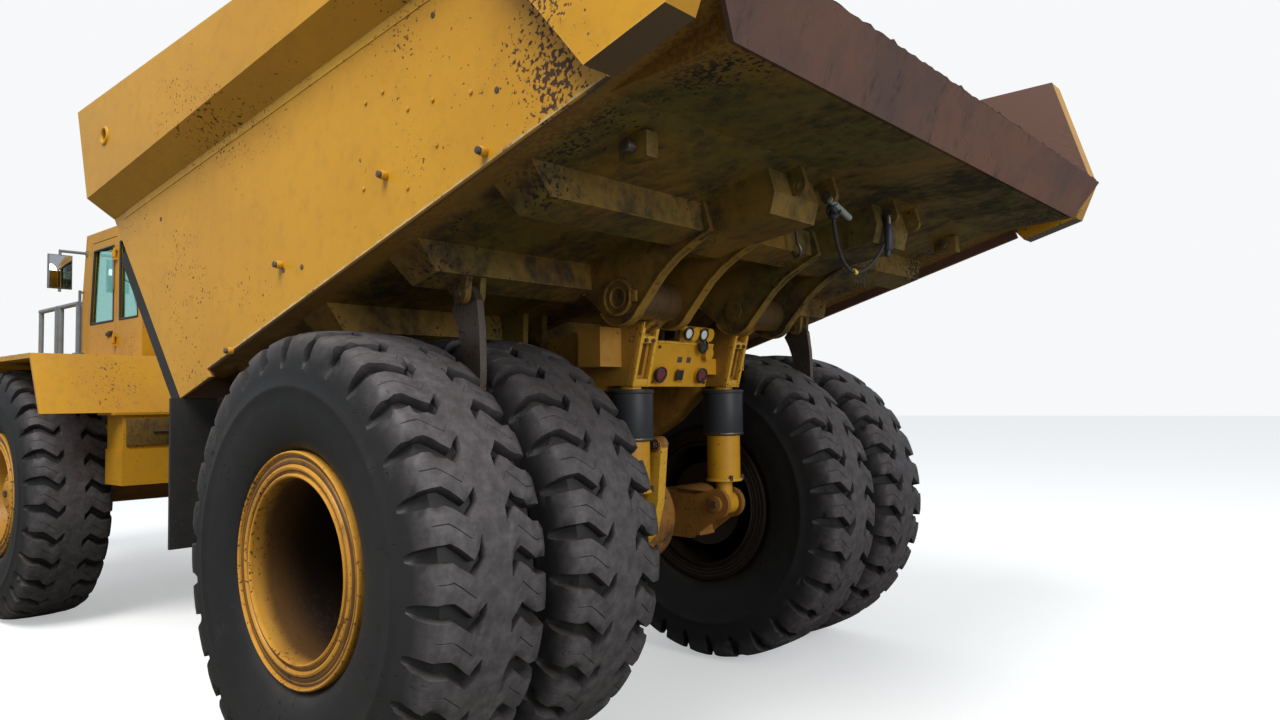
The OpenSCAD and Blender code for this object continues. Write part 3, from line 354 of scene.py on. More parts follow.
# Inside, the walls are bare; the undersides of the rails' ends get painted shade
coat(bin_side, (.115, .058, .042), 1.0, ("Object", 1, 2.092, 2.08), ("Normal", 0, .3, .1))
# Painted shade: faces that look down at the rails' ends turn dark brown
coat(bin_side, (.07, .052, .04), .92, ("Normal", 2, -.3, -.6), ("Object", 0, 4.9, 5.0))
print("bin finishes:", len(bpy.data.materials))

# %% Paint of the frames, the cab and the wheels
casting = paint("casting_paint", (.33, .15, .03), (.24, .105, .022), .5, (.03, .02, .012),
                patches=2.2, streak=.5, pits=.3, edges=.2, dust=.1, rough=(.5, .8))
chassis = paint("chassis_paint", (.38, .19, .03), (.26, .125, .022), .5, (.02, .014, .01),
                patches=1.8, streak=.5, pits=.25, edges=.2, dust=.1, rough=(.5, .8))
cab_paint = paint("cab_paint", YELLOW, FADED, .22, (.16, .09, .03), pits=.08, edges=.2)
bright = paint("bright_yellow_paint", (.66, .37, .035), (.56, .29, .028), .2, (.1, .05, .015), patches=5,
               pits=.25, pit_scale=60, dust=.1)
front_rim_paint = paint("front_rim_paint", (.5, .24, .025), (.38, .18, .02), grime=.38, edges=.4, dust=.1)
rim_paint = paint("rim_paint", (.52, .26, .035), (.4, .19, .025), .5, (.05, .024, .012),
                  patches=5, streak=.3, pit_scale=42, edges=.6, dust=.1)
rim_edge = paint("rim_edge", (.6, .29, .035), (.46, .21, .025), .3, (.12, .05, .015),
                 patches=6, pits=.4, pit_scale=50, dust=0)
# Painted shade: the gutters set back between the rim's rings are dark brown
gutter_shade = paint("rim_gutter", (.17, .075, .018), (.09, .042, .014), .5, (.035, .018, .01),
               patches=5, pits=.3, edges=0, dust=0)
# The chassis paint turns near black above a height, at the tube at the frame's tip; the barrel of a rim gets
# painted shade, darker and darker deeper inside
coat(chassis, (.02, .013, .008), .85, ("Object", 2, 2.24, 2.3))
# Painted shade inside the rim's barrel, darker the deeper in
coat(rim_paint, (.075, .034, .012), .9, ("Object", 1, 2.192, 2.1))
coat(rim_paint, (.012, .008, .006), .95, ("Object", 1, 2.16, 1.88))
print("finishes so far:", len(bpy.data.materials))

# %% Steel, rubber, plastic and cloth
steel = paint("bare_steel", (.16, .13, .11), (.1, .08, .07), grime=.35, pits=.4, edges=0, dust=.1, metal=.7,
              rough=(.4, .75))
rods = paint("polished_rod", (.55, .55, .56), (.5, .5, .5), .2, (.05, .045, .04), pits=0, edges=0,
             dust=0, rough=(.12, .5), metal=1.0, bump=.05)
heat_shield = paint("exhaust_shield", (.16, .14, .13), (.11, .09, .08), dirt=(.1, .045, .02), pits=.3, edges=0,
                    dust=0, metal=.6, rough=(.4, .75))
engine_grey = paint("engine_castings", (.06, .06, .058), (.035, .035, .035), pits=.1, edges=0, dust=.2)
tube_paint = paint("grey_tube", (.2, .22, .23), (.15, .16, .17), grime=.2, pits=.1, edges=.1, dust=.2,
                   rough=(.35, .6))
trim = paint("black_trim", (.02, .02, .021), (.032, .031, .03), .2, (.08, .065, .045), pits=0, edges=.2,
             dust=.3, rough=(.5, .8))
# Soft stuff has no pits or worn edges: base, faded, grime and its colour, dust, roughness
rubber, boot_rubber, sheath, grey_plug, tape, plastic, seat_cloth = (
    paint(name, base, faded, grime, dirt, pits=0, edges=0, dust=dust, rough=rough, **more)
    for name, base, faded, grime, dirt, dust, rough, more in (
        ("black_rubber", (.022, .022, .022), (.035, .033, .031), .3, (.07, .06, .045), .3, (.65, .9), {}),
        ("boot_rubber", (.022, .025, .03), (.034, .038, .045), .2, (.06, .055, .05), .2, (.45, .7), {}),
        ("cable_sheath", (.02, .021, .023), (.035, .035, .036), .3, (.1, .09, .07), .2, (.6, .85),
         {"patches": 14}),
        ("grey_plug", (.24, .27, .25), (.18, .2, .19), .25, SOOT, 0, (.42, .75), {}),
        ("yellow_tape", (.8, .58, .1), (.7, .5, .08), .1, SOOT, 0, (.42, .75), {}),
        ("cab_trim", (.03, .03, .032), (.045, .044, .043), .2, SOOT, .3, (.7, .9), {}),
        ("seat_cloth", (.045, .047, .052), (.06, .06, .065), .1, SOOT, .3, (.85, .95), {"bump": .6})))
tyre_rubber = paint("tyre_rubber", (.011, .011, .012), (.019, .018, .019), .35, (.034, .031, .03),
                    patches=4, streak=.9, pits=.12, pit_scale=26, rust=(.01, .01, .01), edges=0,
                    dust=.12, rough=(.55, .8), bump=.5)
# The tops of the lugs are scuffed grey, and the grooves between them are left dark as painted shade; each
# tyre's mesh says where the tops are
tree = tyre_rubber.node_tree
where = add(tree, "TexCoord").outputs["Object"]
top = add(tree, "Attribute", attribute_name="lug_top").outputs["Fac"]
scuffs_and_groove_shade = ramp(tree, noise(tree, where, 16.0, 5.0, .7), .3, .75, .35, 1.0)
coat(tyre_rubber, (.098, .087, .092), times(tree, top, scuffs_and_groove_shade))
print("finishes so far:", len(bpy.data.materials))


# %% Glass, lamps and mirrors
def smooth(name, tint, rough, looks):
    """A smooth finish of one colour, with more of the shader's inputs."""
    material, tree, shader = new_finish(name)
    feed(tree, shader, {"Base Color": tint, "Roughness": rough, **looks})
    return material


cab_glass = smooth("cab_glazing", (.45, .72, .68), .03, {"Transmission Weight": 1.0, "IOR": 1.45})
mirror_glass = smooth("mirror_glass", (.55, .58, .6), .03, {"Coat Weight": .8, "Metallic": 1.0})
red_lens, clear_lens, dark_lens, amber_lens = (
    smooth(f"{colour}_lamp_glass", tint, .12, {"Coat Weight": .8})
    for colour, tint in (("red", (.13, .012, .02)), ("clear", (.62, .68, .66)), ("dark", (.012, .014, .02)),
                         ("amber", (.6, .2, .02))))

# %% Paint the parts
FINISHES = (
    (bin_side, "bin_walls bin_rails bin_headboard"), (bin_under, "bin_floor bin_frame"), (sheath, "cable"),
    (tail_rust, "tail_fascia"), (rubber, "bin_rubbers"), (steel, "cable_ends rock_ejector"),
    (engine_grey, "engine"),
    (chassis, "rear_frame hitch front_frame hoist_barrel steer_barrel"), (casting, "rear_axle front_axle"),
    (cab_paint, "tail_panel rear_struts hood front_decks cab_shell cab_door service_boxes"),
    (trim, "grille bumper"), (cab_glass, "cab_glass door_glass"), (plastic, "cab_interior"),
    (tube_paint, "grab_rails"), (rods, "hoist_rod steer_rod"), (rim_paint, "rear_rims"),
    (front_rim_paint, "front_rim"), (tyre_rubber, "rear_tyres front_tyre"))
FINISH = {part: finish for finish, names in FINISHES for part in names.split()}
for name, node in NODES.items():
    node.data.materials.clear()
    node.data.materials.append(FINISH[name.removesuffix("_l").removesuffix("_r")])
slack_cable.data.materials.append(sheath)
print("painted", len(NODES), "parts")

# %% [markdown]
# ## Tools for small pieces
# Each small piece starts as a primitive at its real size and place. Pieces that belong together
# are joined, take their finishes and ride on a body, so they move as the real ones do.

# %% Places and directions
FRONT = REAR + Vector((5.5, 0, 0))  # middle of the front axle
AT_REAR, AT_FRONT = Matrix.Translation(REAR), Matrix.Translation(FRONT)
X, Y, Z = Vector((1, 0, 0)), Vector((0, 1, 0)), Vector((0, 0, 1))
SIDES = {1: "l", -1: "r"}


def change(made, kind, **values):
    """Give a piece a modifier and apply it."""
    modifier = made.modifiers.new(kind.lower(), kind)
    for key, value in values.items():
        setattr(modifier, key, value)
    bpy.ops.object.modifier_apply(modifier=modifier.name)


def settle(material, soft=0.0):
    """Put the new object's place into its mesh, give it a finish and ease its edges."""
    bpy.ops.object.transform_apply(location=True, rotation=True, scale=True)
    made = bpy.context.object
    made.data.materials.append(material)
    if soft:
        change(made, "BEVEL", width=soft, segments=2, limit_method="ANGLE")
    return made


def in_edit_mode(step, **values):
    """Run an operator on the whole mesh in edit mode, and turn its faces outwards."""
    bpy.ops.object.mode_set(mode="EDIT")
    bpy.ops.mesh.select_all(action="SELECT")
    step(**values)
    bpy.ops.mesh.select_all(action="SELECT")
    bpy.ops.mesh.normals_make_consistent(inside=False)
    bpy.ops.object.mode_set(mode="OBJECT")


# %% Blocks, bars, hoops and plates
def block(low, high, material, soft=.004):
    """A box between two corners."""
    low, high = Vector(low), Vector(high)
    bpy.ops.mesh.primitive_cube_add(size=1, location=(low + high) / 2, scale=high - low)
    return settle(material, soft)


def rod(start, end, radius, material, sides=24, soft=0.0):
    """A round bar between two points."""
    start, end = Vector(start), Vector(end)
    turn = (end - start).to_track_quat("Z", "Y").to_euler()
    bpy.ops.mesh.primitive_cylinder_add(vertices=sides, radius=radius, depth=(end - start).length,
                                        location=(start + end) / 2, rotation=turn)
    return settle(material, soft)


def bar(start, reach, radius, material, sides=16, soft=0.0):
    """A round bar from a point, along a reach."""
    return rod(start, Vector(start) + reach, radius, material, sides, soft)


def hoop(centre, axis, radius, thick, wide, material, sides=48):
    """A ring round an axis: thick across its section, wide along the axis."""
    turn = Vector(axis).to_track_quat("Z", "Y").to_euler()
    bpy.ops.mesh.primitive_torus_add(major_segments=sides, minor_segments=8, major_radius=radius,
                                     minor_radius=thick, location=centre, rotation=turn)
    bpy.context.object.scale = (1, 1, wide / thick)
    return settle(material)


def plate(outline, y0, y1, material, soft=0.0):
    """A flat plate: its outline in x and z, drawn at y0 and pulled to y1."""
    bpy.ops.mesh.primitive_circle_add(vertices=len(outline), fill_type="NGON")
    for vertex, (x, z) in zip(bpy.context.object.data.vertices, outline):
        vertex.co = (x, y0, z)
    in_edit_mode(bpy.ops.mesh.extrude_region_move, TRANSFORM_OT_translate={"value": (0, y1 - y0, 0)})
    return settle(material, soft)


def nuts(centre, axis, radius, count, size, material):
    """Hexagon heads on washers, evenly round a circle."""
    axis = Vector(axis).normalized()
    arm = axis.orthogonal().normalized()
    made = []
    for index in range(count):
        at = Vector(centre) + radius * (Matrix.Rotation(math.tau * index / count, 3, axis) @ arm)
        made += [bar(at, axis * size * .35, size * 1.25, material, 12), bar(at, axis * size, size, material, 6)]
    return made


# %% Put parts together
def mirrored(build):
    """The same parts on the left and the right side; build takes 1 or -1."""
    return [part for side in SIDES for part in build(side)]


def declare(made, name, body):
    """Name a piece, and say what it rides on."""
    made.name = made.data.name = name
    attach(made, body)
    print(name, "has", len(made.data.polygons), "faces")
    return made


def join(name, parts, body, to_truck=Matrix()):
    """One piece out of its parts, carried to the truck by a matrix and riding on a body."""
    bpy.ops.object.select_all(action="DESELECT")
    for part in parts:
        part.data.transform(to_truck)
        part.select_set(True)
    bpy.context.view_layer.objects.active = parts[0]
    if len(parts) > 1:
        bpy.ops.object.join()
    bpy.ops.object.shade_smooth_by_angle(angle=math.radians(35))
    return declare(bpy.context.object, name, body)


# %% [markdown]
# ## Tyres
# A rock tyre has wide lugs across each shoulder with deep grooves between them. Each groove
# starts in a round end low on the shoulder, runs straight in, slants, and hooks back beside
# the smooth middle. The two halves are the same pattern turned half round. One way is to cut
# grooves with booleans, but the walls come out ragged. Here a flat grid is rolled into the
# tyre instead, with its lines laid along the groove walls, so edges stay crisp with few faces.

# %% Section of a tyre
# Half of it: out from the middle, radius
SECTION = [(0, 1.087), (.06, 1.087), (.12, 1.086), (.18, 1.081), (.24, 1.072), (.278, 1.055), (.297, 1.022),
           (.309, .975), (.319, .92), (.326, .86), (.329, .8), (.325, .72), (.316, .66), (.3, .605),
           (.283, .566), (.262, .548), (.2468, .538), (.2467, .446)]
lengths = [0.0]
for a, b in zip(SECTION, SECTION[1:]):
    lengths.append(lengths[-1] + math.dist(a, b))
STEP = .012  # the normal is measured this far to either side


def on_section(s):
    """Place and outward normal on the section, s metres along it from the middle."""
    (out, radius), (o2, r2), (o1, r1) = (
        [np.interp(at, lengths, [p[i] for p in SECTION]) for i in (0, 1)] for at in (s, s + STEP, s - STEP))
    size = math.hypot(o2 - o1, r2 - r1) or 1
    return out, radius, -(r2 - r1) / size, (o2 - o1) / size


print("half section:", round(lengths[-1], 3), "m")

# %% Grooves
PITCHES = 30  # lugs round each half
PHASE = .25  # the grooves' place round the wheel, in pitches, as on the solid tyre
DEPTH, SIPE = .052, .006  # of a groove, and of the slit across each lug
SIPE_FROM, SIPE_TO = .1, .26
BRINK, FOOT = .012, .022  # a groove's wall starts this far outside its edge and ends this far inside
TORN, ROUGH, SWAY = .024, .003, .01  # the most that a lug's edge is torn, is uneven and wanders
# Along the section: distance, the groove's line and half width in pitches, its share of the depth
GROOVE = [
    (.0, .0, .13, 0), (.045, .02, .13, 0), (.066, .05, .125, 0), (.074, .07, .125, .7),
    (.09, .15, .13, .92), (.12, .31, .135, 1), (.15, .21, .14, 1), (.185, .09, .15, 1), (.215, 0, .155, 1),
    (.25, 0, .155, 1),
    (.285, 0, .15, 1), (.312, 0, .15, .95), (.34, 0, .14, .85), (.368, 0, .13, .7), (.396, 0, .115, .45),
    (.42, 0, .08, .22), (.436, 0, .05, 0), (.455, 0, .1, 0)]
# Below the grooves there is only a thin raised line round the wall
GROOVE += [(s, 0, .14, depth) for s, depth in (
    (.5, 0), (.512, -.09), (.524, -.09), (.536, 0), (.59, 0), (.65, 0), (.705, 0), (.745, 0), (.775, 0),
    (.8, 0), (lengths[-1] - .09, 0), (lengths[-1], 0))]
# Rows round one pitch: place between two grooves, and whether the row lies at a groove's bottom
ROWS = [(-.5, 0), (-.488, 0), (-.4, 0), (-.32, 0), ("brink", 0), ("foot", 1), (0, 1), ("foot 2", 1),
        ("brink 2", 0), (.32, 0), (.4, 0), (.488, 0)]
BOTTOM = ROWS.index((0, 1))


def tyre_sheet(seed, middle):
    """Points of one tyre, rows round it and columns across it, and how much each is a lug's top."""
    columns = [(-1, groove) for groove in GROOVE[:0:-1]] + [(1, groove) for groove in GROOVE]
    points = np.zeros((PITCHES * len(ROWS), len(columns), 3))
    tops = np.zeros(points.shape[:2])
    nick = np.random.default_rng(seed).random((PITCHES, len(ROWS), len(columns)))
    for c, (half, (s, line, wide, depth)) in enumerate(columns):
        out, radius, n_out, n_radius = on_section(s)
        walls = {"brink": -wide - BRINK, "foot": -wide + FOOT, "foot 2": wide - FOOT, "brink 2": wide + BRINK}
        for k in range(len(ROWS)):
            r = k if half > 0 else (BOTTOM - k) % len(ROWS)
            where, deep = ROWS[r]
            cut = DEPTH * depth * (deep if depth > 0 else 1)
            if r == 0 and SIPE_FROM < s < SIPE_TO:
                cut += SIPE
            for p in range(PITCHES):
                chip = nick[p, r, c]
                torn = TORN * chip ** 9 + ROUGH * chip if depth > 0 and where in ("brink", "brink 2") else 0
                sway = SWAY * (nick[p, (r + 3) % len(ROWS), c] - .5) if depth > 0 else 0
                place_round = walls.get(where, where) + line + sway
                pitch = p + place_round if half > 0 else p - .5 - place_round + (k > BOTTOM)
                angle = math.tau / PITCHES * (pitch + PHASE)
                drop = cut + torn
                y, across = half * (out - drop * n_out), radius - drop * n_radius
                spot = p * len(ROWS) + k, c
                points[spot] = across * math.cos(angle), y + middle, across * math.sin(angle)
                tops[spot] = max(0, 1 - drop / .02) * np.interp(s, (.27, .4), (1, 0))
    return points, tops


def rolled(sheet, tops, centre, material):
    """A flat grid rolled round an axle and closed on itself both ways."""
    sheet, tops = (np.pad(a, [(0, 1), (0, 1), (0, 0)][:a.ndim], "wrap") for a in (sheet, tops))
    bpy.ops.mesh.primitive_grid_add(x_subdivisions=sheet.shape[1] - 1, y_subdivisions=sheet.shape[0] - 1)
    made = bpy.context.object
    made.data.vertices.foreach_set("co", (sheet + np.array(centre)).reshape(-1))
    made.data.attributes.new("lug_top", "FLOAT", "POINT").data.foreach_set("value", tops.reshape(-1))
    made.data.update()
    in_edit_mode(bpy.ops.mesh.remove_doubles, threshold=.0002)
    made.data.materials.append(material)
    return made


# %% Put on the six tyres
TWINS, SINGLE = (1.163, 1.921), (1.7,)
for side, name in SIDES.items():
    for node, body, centre, places in ((f"rear_tyres_{name}", f"rear_wheel_{name}", REAR, TWINS),
                                       (f"front_tyre_{name}", f"front_wheel_{name}", FRONT, SINGLE)):
        parts = [rolled(*tyre_sheet(40 + int(10 * y) * side, y * side), centre, tyre_rubber) for y in places]
        tread = join(f"{node}_tread", parts, body)
        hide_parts(node)

# %% [markdown]
# ## Wheels close up
# A wide rim is a stack of rings: the flange that holds the tyre, a band beside it, and a split
# lock ring that keeps them on. Paint has worn off their edges. Deep inside sits the hub.

# %% Dress the rims
# From the tyre inwards: radius, half thickness, half width, how far out, and which of two finishes; on the
# outer face the second is the painted shade of the gutters
RINGS = ((.527, .008, .013, .0, 0), (.508, .013, .005, -.004, 1), (.484, .012, .008, -.002, 1),
         (.46, .014, .012, .0, 0), (.441, .005, .008, -.003, 1), (.422, .01, .014, -.002, 0))


def rim_rings(centre, y, side, *finishes):
    """The rings on the face of a rim at y."""
    return [hoop(centre + Y * side * (y + out), Y, radius, thick, wide, finishes[which], 96)
            for radius, thick, wide, out, which in RINGS]


for side, name in SIDES.items():
    out = Y * side
    parts = rim_rings(REAR, 2.198, side, rim_edge, gutter_shade) + rim_rings(REAR, .886, side, rim_paint, rim_paint)
    parts += nuts(REAR + out * 1.474, out, .345, 24, .021, casting)
    parts += nuts(REAR + out * 1.643, out, .155, 12, .014, casting)
    join(f"rear_rim_{name}_rings", parts, f"rear_wheel_{name}")
    parts = rim_rings(FRONT, 1.977, side, rim_edge, gutter_shade)
    parts += nuts(FRONT + out * 1.819, out, .262, 24, .018, rim_edge)
    parts += nuts(FRONT + out * 1.87, out, .165, 12, .013, rim_edge)
    parts += [bar(FRONT + out * 1.868, out * .037, .115, rim_edge, 48, .01),
              bar(FRONT + out * 1.9, out * .025, .03, steel, 6)]
    join(f"front_rim_{name}_rings", parts, f"front_wheel_{name}")

# %% [markdown]
# ## The tail of the rear frame
# Between the hinge arms stands a yellow lamp plate. Beside it each rail ends in a slotted plate,
# and under each rail a suspension strut comes down in a black boot to its pin on the axle.

# %% Lamps
def leaning(x, z, degrees):
    """The frame of a face that leans on the tail, from its foot."""
    return Matrix.Translation(REAR + Vector((x, 0, z))) @ Matrix.Rotation(math.radians(degrees), 4, "Y")


parts = []
for y in (.215, -.185):
    parts += [hoop((-.048, y, .078), X, .043, .006, .01, trim),
              bar((-.055, y, .078), X * .015, .038, red_lens, 40, .004)]
for y, z, lens in ((.045, .335, clear_lens), (-.105, .335, clear_lens), (-.125, .262, dark_lens)):
    parts += [hoop((-.058, y, z), X, .038, .005, .008, trim, 40),
              bar((-.063, y, z), X * .013, .028, lens, 32, .003)]
parts += [block((-.044, -.006, .044), (-.036, .058, .108), trim),
          block((-.022, -.075, .15), (-.018, -.035, .185), steel, .001),
          block((-.022, .01, .15), (-.018, .055, .185), steel, .001),
          block((-.026, -.27, .262), (-.006, .27, .276), bright)]
parts += [bar((-.032, y, z), X * .014, .009, steel, 6) for y in (-.25, .25) for z in (.03, .24)]
join("tail_lamps", parts, "rear_frame", leaning(-.465, .828, -16))


# %% Rail ends, struts and axle
def rail_end(side):
    middle = .45 * side
    parts = [block((-.034, y - .012, .0), (-.002, y + .012, .372), bright)
             for y in (middle - .06, middle + .06)]
    parts += [block((-.03, middle - .055, z0), (-.002, middle + .055, z1), bright)
              for z0, z1 in ((.0, .045), (.25, .292), (.352, .372))]
    return parts + [bar((-.045, middle + y, .268), X * .017, .012, steel, 6) for y in (-.03, .03)]


join("rail_end_frames", mirrored(rail_end), "rear_frame", leaning(-.545, .825, -14.6))


def strut_trim(side):
    x, y = -.5, .45 * side
    parts = [bar((x, y, .512), Z * .292, .1275, boot_rubber, 64, .012),
             hoop((x, y, .79), Z, .127, .007, .012, boot_rubber, 64),
             hoop((x, y, .524), Z, .127, .004, .007, steel, 64),
             bar((x, y, .222), Z * .018, .116, bright, 48, .004),
             bar((x - .035, y + .005, .8), Z * .036, .022, bright, 20, .004)]
    for end in (-1, 1):
        parts += [bar((x, y + end * .094, .08), Y * end * .024, .052, casting, 32, .004),
                  bar((x, y + end * .118, .08), Y * end * .018, .027, steel, 6),
                  bar((x - .1, y + end * .06, .228), Z * .034, .01, steel, 6)]
    return parts


join("strut_boots", mirrored(strut_trim), "rear_frame", AT_REAR)

# Side of the arm that holds the axle, in x and z
ARM = [(-.515, .462), (-.512, .496), (-.49, .52), (-.46, .526), (-.432, .508), (-.424, .478), (-.404, .38),
       (-.398, .26), (-.328, .122), (-.178, .062), (-.178, -.152), (-.332, -.144), (-.434, -.042), (-.484, .14),
       (-.499, .3)]
parts = [plate(ARM, .137, .203, bright, .004), hoop((-.47, .205, .48), Y, .034, .009, .009, casting, 40),
         bar((-.47, .1, .48), Y * .14, .021, steel, 24), bar((-.47, .205, .48), Y * .021, .028, steel, 6),
         bar((-.257, 0, 0), X * .012, .2, casting, 48, .006),
         bar((-.277, 0, 0), X * .012, .12, casting, 48, .006)]
for ring, size in ((.175, .013), (.085, .011)):
    parts += nuts((-.262, 0, 0), -X, ring, 12, size, steel)
join("axle_fittings", parts, "rear_frame", AT_REAR)

# %% [markdown]
# ## Under and along the bin
# Each hinge arm carries a strap along its edges and a ring round the pin. On the side walls stand
# short pegs, small nubs and dark plugs. The wall is worn bright along its lower edge, and the
# tail's edge is a crust of rust. These are chipped unevenly, so their outlines are drawn by lot.

# %% Hinge arms
SLOPE = math.radians(16.5)
FLOOR_Z = 1.28  # height of the floor over the axle
TIP_PIN = Vector((-.7, 1.285))
STRAP, HALF_STRAP = -.007, .033  # thickness, to the right of its line, and half width


def on_floor(u, v):
    """A point of the sloped floor in x and z from the rear axle: u forward along it, v up."""
    return (u * math.cos(SLOPE) + v * math.sin(SLOPE),
            FLOOR_Z - u * math.sin(SLOPE) + v * math.cos(SLOPE))


def strap(points, middle, material):
    """A bent flat bar round a middle y: a run of points in x and z, given a thickness."""
    outer = []
    for index, point in enumerate(points):
        a, b = Vector(points[max(index - 1, 0)]), Vector(points[min(index + 1, len(points) - 1)])
        left = Vector((a.y - b.y, b.x - a.x)).normalized()
        outer.append(tuple(Vector(point) + left * STRAP))
    return plate(points + outer[::-1], middle - HALF_STRAP, middle + HALF_STRAP, material)


def hinge_trim(side):
    parts = []
    rear = [on_floor(u, v) for u, v in ((-1.33, -.095), (-1.2, -.112), (-1.08, -.14), (-.97, -.185),
                                        (-.88, -.24))]
    rear += [tuple(TIP_PIN + .151 * Vector((math.cos(a), math.sin(a))))
             for a in np.radians(range(-150, -20, 12))]
    front = [on_floor(u, v) for u, v in ((-.44, -.09), (-.3, .01), (-.12, .02))]
    for y in (.32, .74):
        parts += [strap(edge[::-1], side * y, hinge_paint) for edge in (rear, front)]
    pin = Vector((TIP_PIN.x, 0, TIP_PIN.y))
    face = side * .778
    parts += [hoop(pin + Y * face, Y, .092, .009, .009, hinge_paint, 64),
              hoop(pin + Y * (face - side * .004), Y, .053, .006, .006, casting),
              block(pin + Vector((-.135, face - .012, -.03)), pin + Vector((-.085, face + .004, .03)),
                    hinge_paint)]
    return parts + nuts(pin + Y * (face - side * .024), Y * side, .03, 3, .007, steel)


join("hinge_straps", mirrored(hinge_trim), "bin", AT_REAR)

# %% Side walls and tail edge
PEGS = (.32, 1.427), (-.57, 1.714), (-1.225, 1.69), (.83, 1.03)
NUBS = ((-.417, 2.064), (-.547, 2.082), (-.9, 1.966), (-.729, 1.967), (-1.141, 1.941), (-.402, 1.685),
        (-.728, 1.635), (-.925, 1.777))
PLUGS = (-.901, 2.315), (1.764, 1.862), (.125, 1.397), (-1.293, 1.913), (.3, 1.4)
WALL_FROM, WALL_TO = -1.925, 1.175  # the wall's lower edge, along the floor
chips = np.random.default_rng(5)


def bin_trim(side):
    wall, out = side * 2.1, Y * side
    parts = [hoop((2.24, side * 2.25, 2.43), Y, .049, .01, .012, bin_side)]
    for x, z in PEGS:
        parts += [bar((x, wall, z), out * .03, .019, bin_side, 20, .003),
                  bar((x, wall + side * .028, z), out * .016, .015, steel, 20, .003)]
    parts += [bar((x, wall, z), out * .007, .01, bin_side, 16, .003) for x, z in NUBS]
    parts += [bar((x, wall, z), out * .003, .013, steel, 16, .001) for x, z in PLUGS]
    seam = [(x, 1.959 + (2.52 - x) * .1397 - down)
            for x, down in ((2.3, 0), (-1.2, 0), (-1.2, .05), (2.34, .042))]
    edge = [on_floor(u, 0) for u in (WALL_FROM, WALL_TO)]
    edge += [on_floor(u, chips.uniform(.003, .012)) for u in np.linspace(WALL_TO, WALL_FROM, 90)]
    parts += [plate(seam, wall - side * .001, wall + side * .0035, bright),
              plate(edge, wall - side * .001, wall + side * .002, chipped_edge)]
    x, z = on_floor(-1.62, .02)
    return parts + [block((x - .075, side * 1.55, z - .06), (x + .075, side * 1.62, z + .045), bin_under),
                    bar((x, side * 1.5, z - .015), out * .17, .024, steel, 20, .003)]


join("bin_fittings", mirrored(bin_trim), "bin", AT_REAR)

HALF_TAIL = 2.195
jagged = [(-HALF_TAIL, -.012), (HALF_TAIL, -.012)]
jagged += [(y, chips.uniform(.0, .008) + .012 * chips.random() ** 6)
           for y in np.linspace(HALF_TAIL, -HALF_TAIL, 130)]
on_tail = Matrix.Translation((-5.539, 0, 3.241)) @ Matrix.Rotation(math.radians(90), 4, "Z")
join("tail_crust", [plate(jagged, -.006, .006, crust)], "bin", on_tail)

x, z = on_floor(-1.38, .03)
HOOK = [(0, -.02, 0), (-.01, -.02, -.1), (-.03, -.02, -.14), (-.02, -.035, -.17), (.02, -.045, -.175),
        (.035, -.045, -.14)]
hook = curve("hanging_hook", [REAR + Vector((x + a, b, z + c)) for a, b, c in HOOK], .01, "bin")
hook.data.materials.append(steel)

# %% [markdown]
# ## What hangs on the cable
# The cable's upper ends sit in a rubber boot and in a clamp with a grey connector. At its lowest
# point the strands have frayed, and a scrap of yellow tape holds them.

# %% Boot, connector and frayed strands
left, right, low = (Vector(CABLE[i]) for i in (0, -1, LOWEST))
parts = [rod(right + Vector((0, 0, .02)), right + Vector((.004, .004, -.13)), .024, boot_rubber, 28, .006),
         rod(right + Vector((.003, .003, -.12)), right + Vector((.008, .008, -.165)), .015, boot_rubber,
             24, .003),
         rod(left + Vector((-.01, .055, .045)), left + Vector((-.02, -.135, -.025)), .017, grey_plug, 24, .004),
         bar(left + Z * .015, Z * -.06, .021, boot_rubber, 24, .004)]
for index in range(5):
    turn = Matrix.Rotation(index * 1.1, 3, "X")
    parts.append(hoop(left + turn @ Vector((.0, .008, .022)), turn @ Vector((.2, .5, 1)), .026, .0055, .0055,
                      boot_rubber, 28))
parts.append(rod(low + Vector((0, .03, .006)), low + Vector((0, -.004, -.002)), .0135, tape, 20, .002))
fittings = join("cable_fittings", parts, "bin", AT_REAR)
strands = []
lot = np.random.default_rng(7)
for index in range(7):
    start = low + Vector((0, -.03 - .012 * index, .004))
    reach = Vector((lot.uniform(-.02, .02), lot.uniform(-.05, .05), -lot.uniform(.03, .085)))
    middle = start + reach / 2 + Vector((lot.uniform(-.012, .012), lot.uniform(-.02, .02), 0))
    strands += [rod(start, middle, .0028, sheath, 8), rod(middle, start + reach, .0024, sheath, 8)]
frayed = join("frayed_strands", strands, "bin", AT_REAR)

# %% [markdown]
# ## The front unit
# It is mostly hidden in the photograph, so it gets what such machines have: lamps, a hinged
# grille, window seals, wipers, a seat and a wheel behind the glass, and hand holds.

# %% Lamps, grille and hood
parts = []
for side in SIDES:
    for y in (.705, .835):
        parts += [hoop((3.235, side * y, .28), X, .05, .006, .01, steel),
                  bar((3.205, side * y, .28), X * .033, .047, clear_lens, 40, .008)]
    parts += [block((3.1, side * .93 - .05, .4), (3.252, side * .93 + .05, .44), amber_lens),
              block((3.235, side * .45 - .14, -.12), (3.256, side * .45 + .14, .02), trim)]
    parts += nuts((3.25, side * .45, .46), X, .05, 4, .012, steel)
join("bumper_lamps", parts, "front_frame", AT_FRONT)

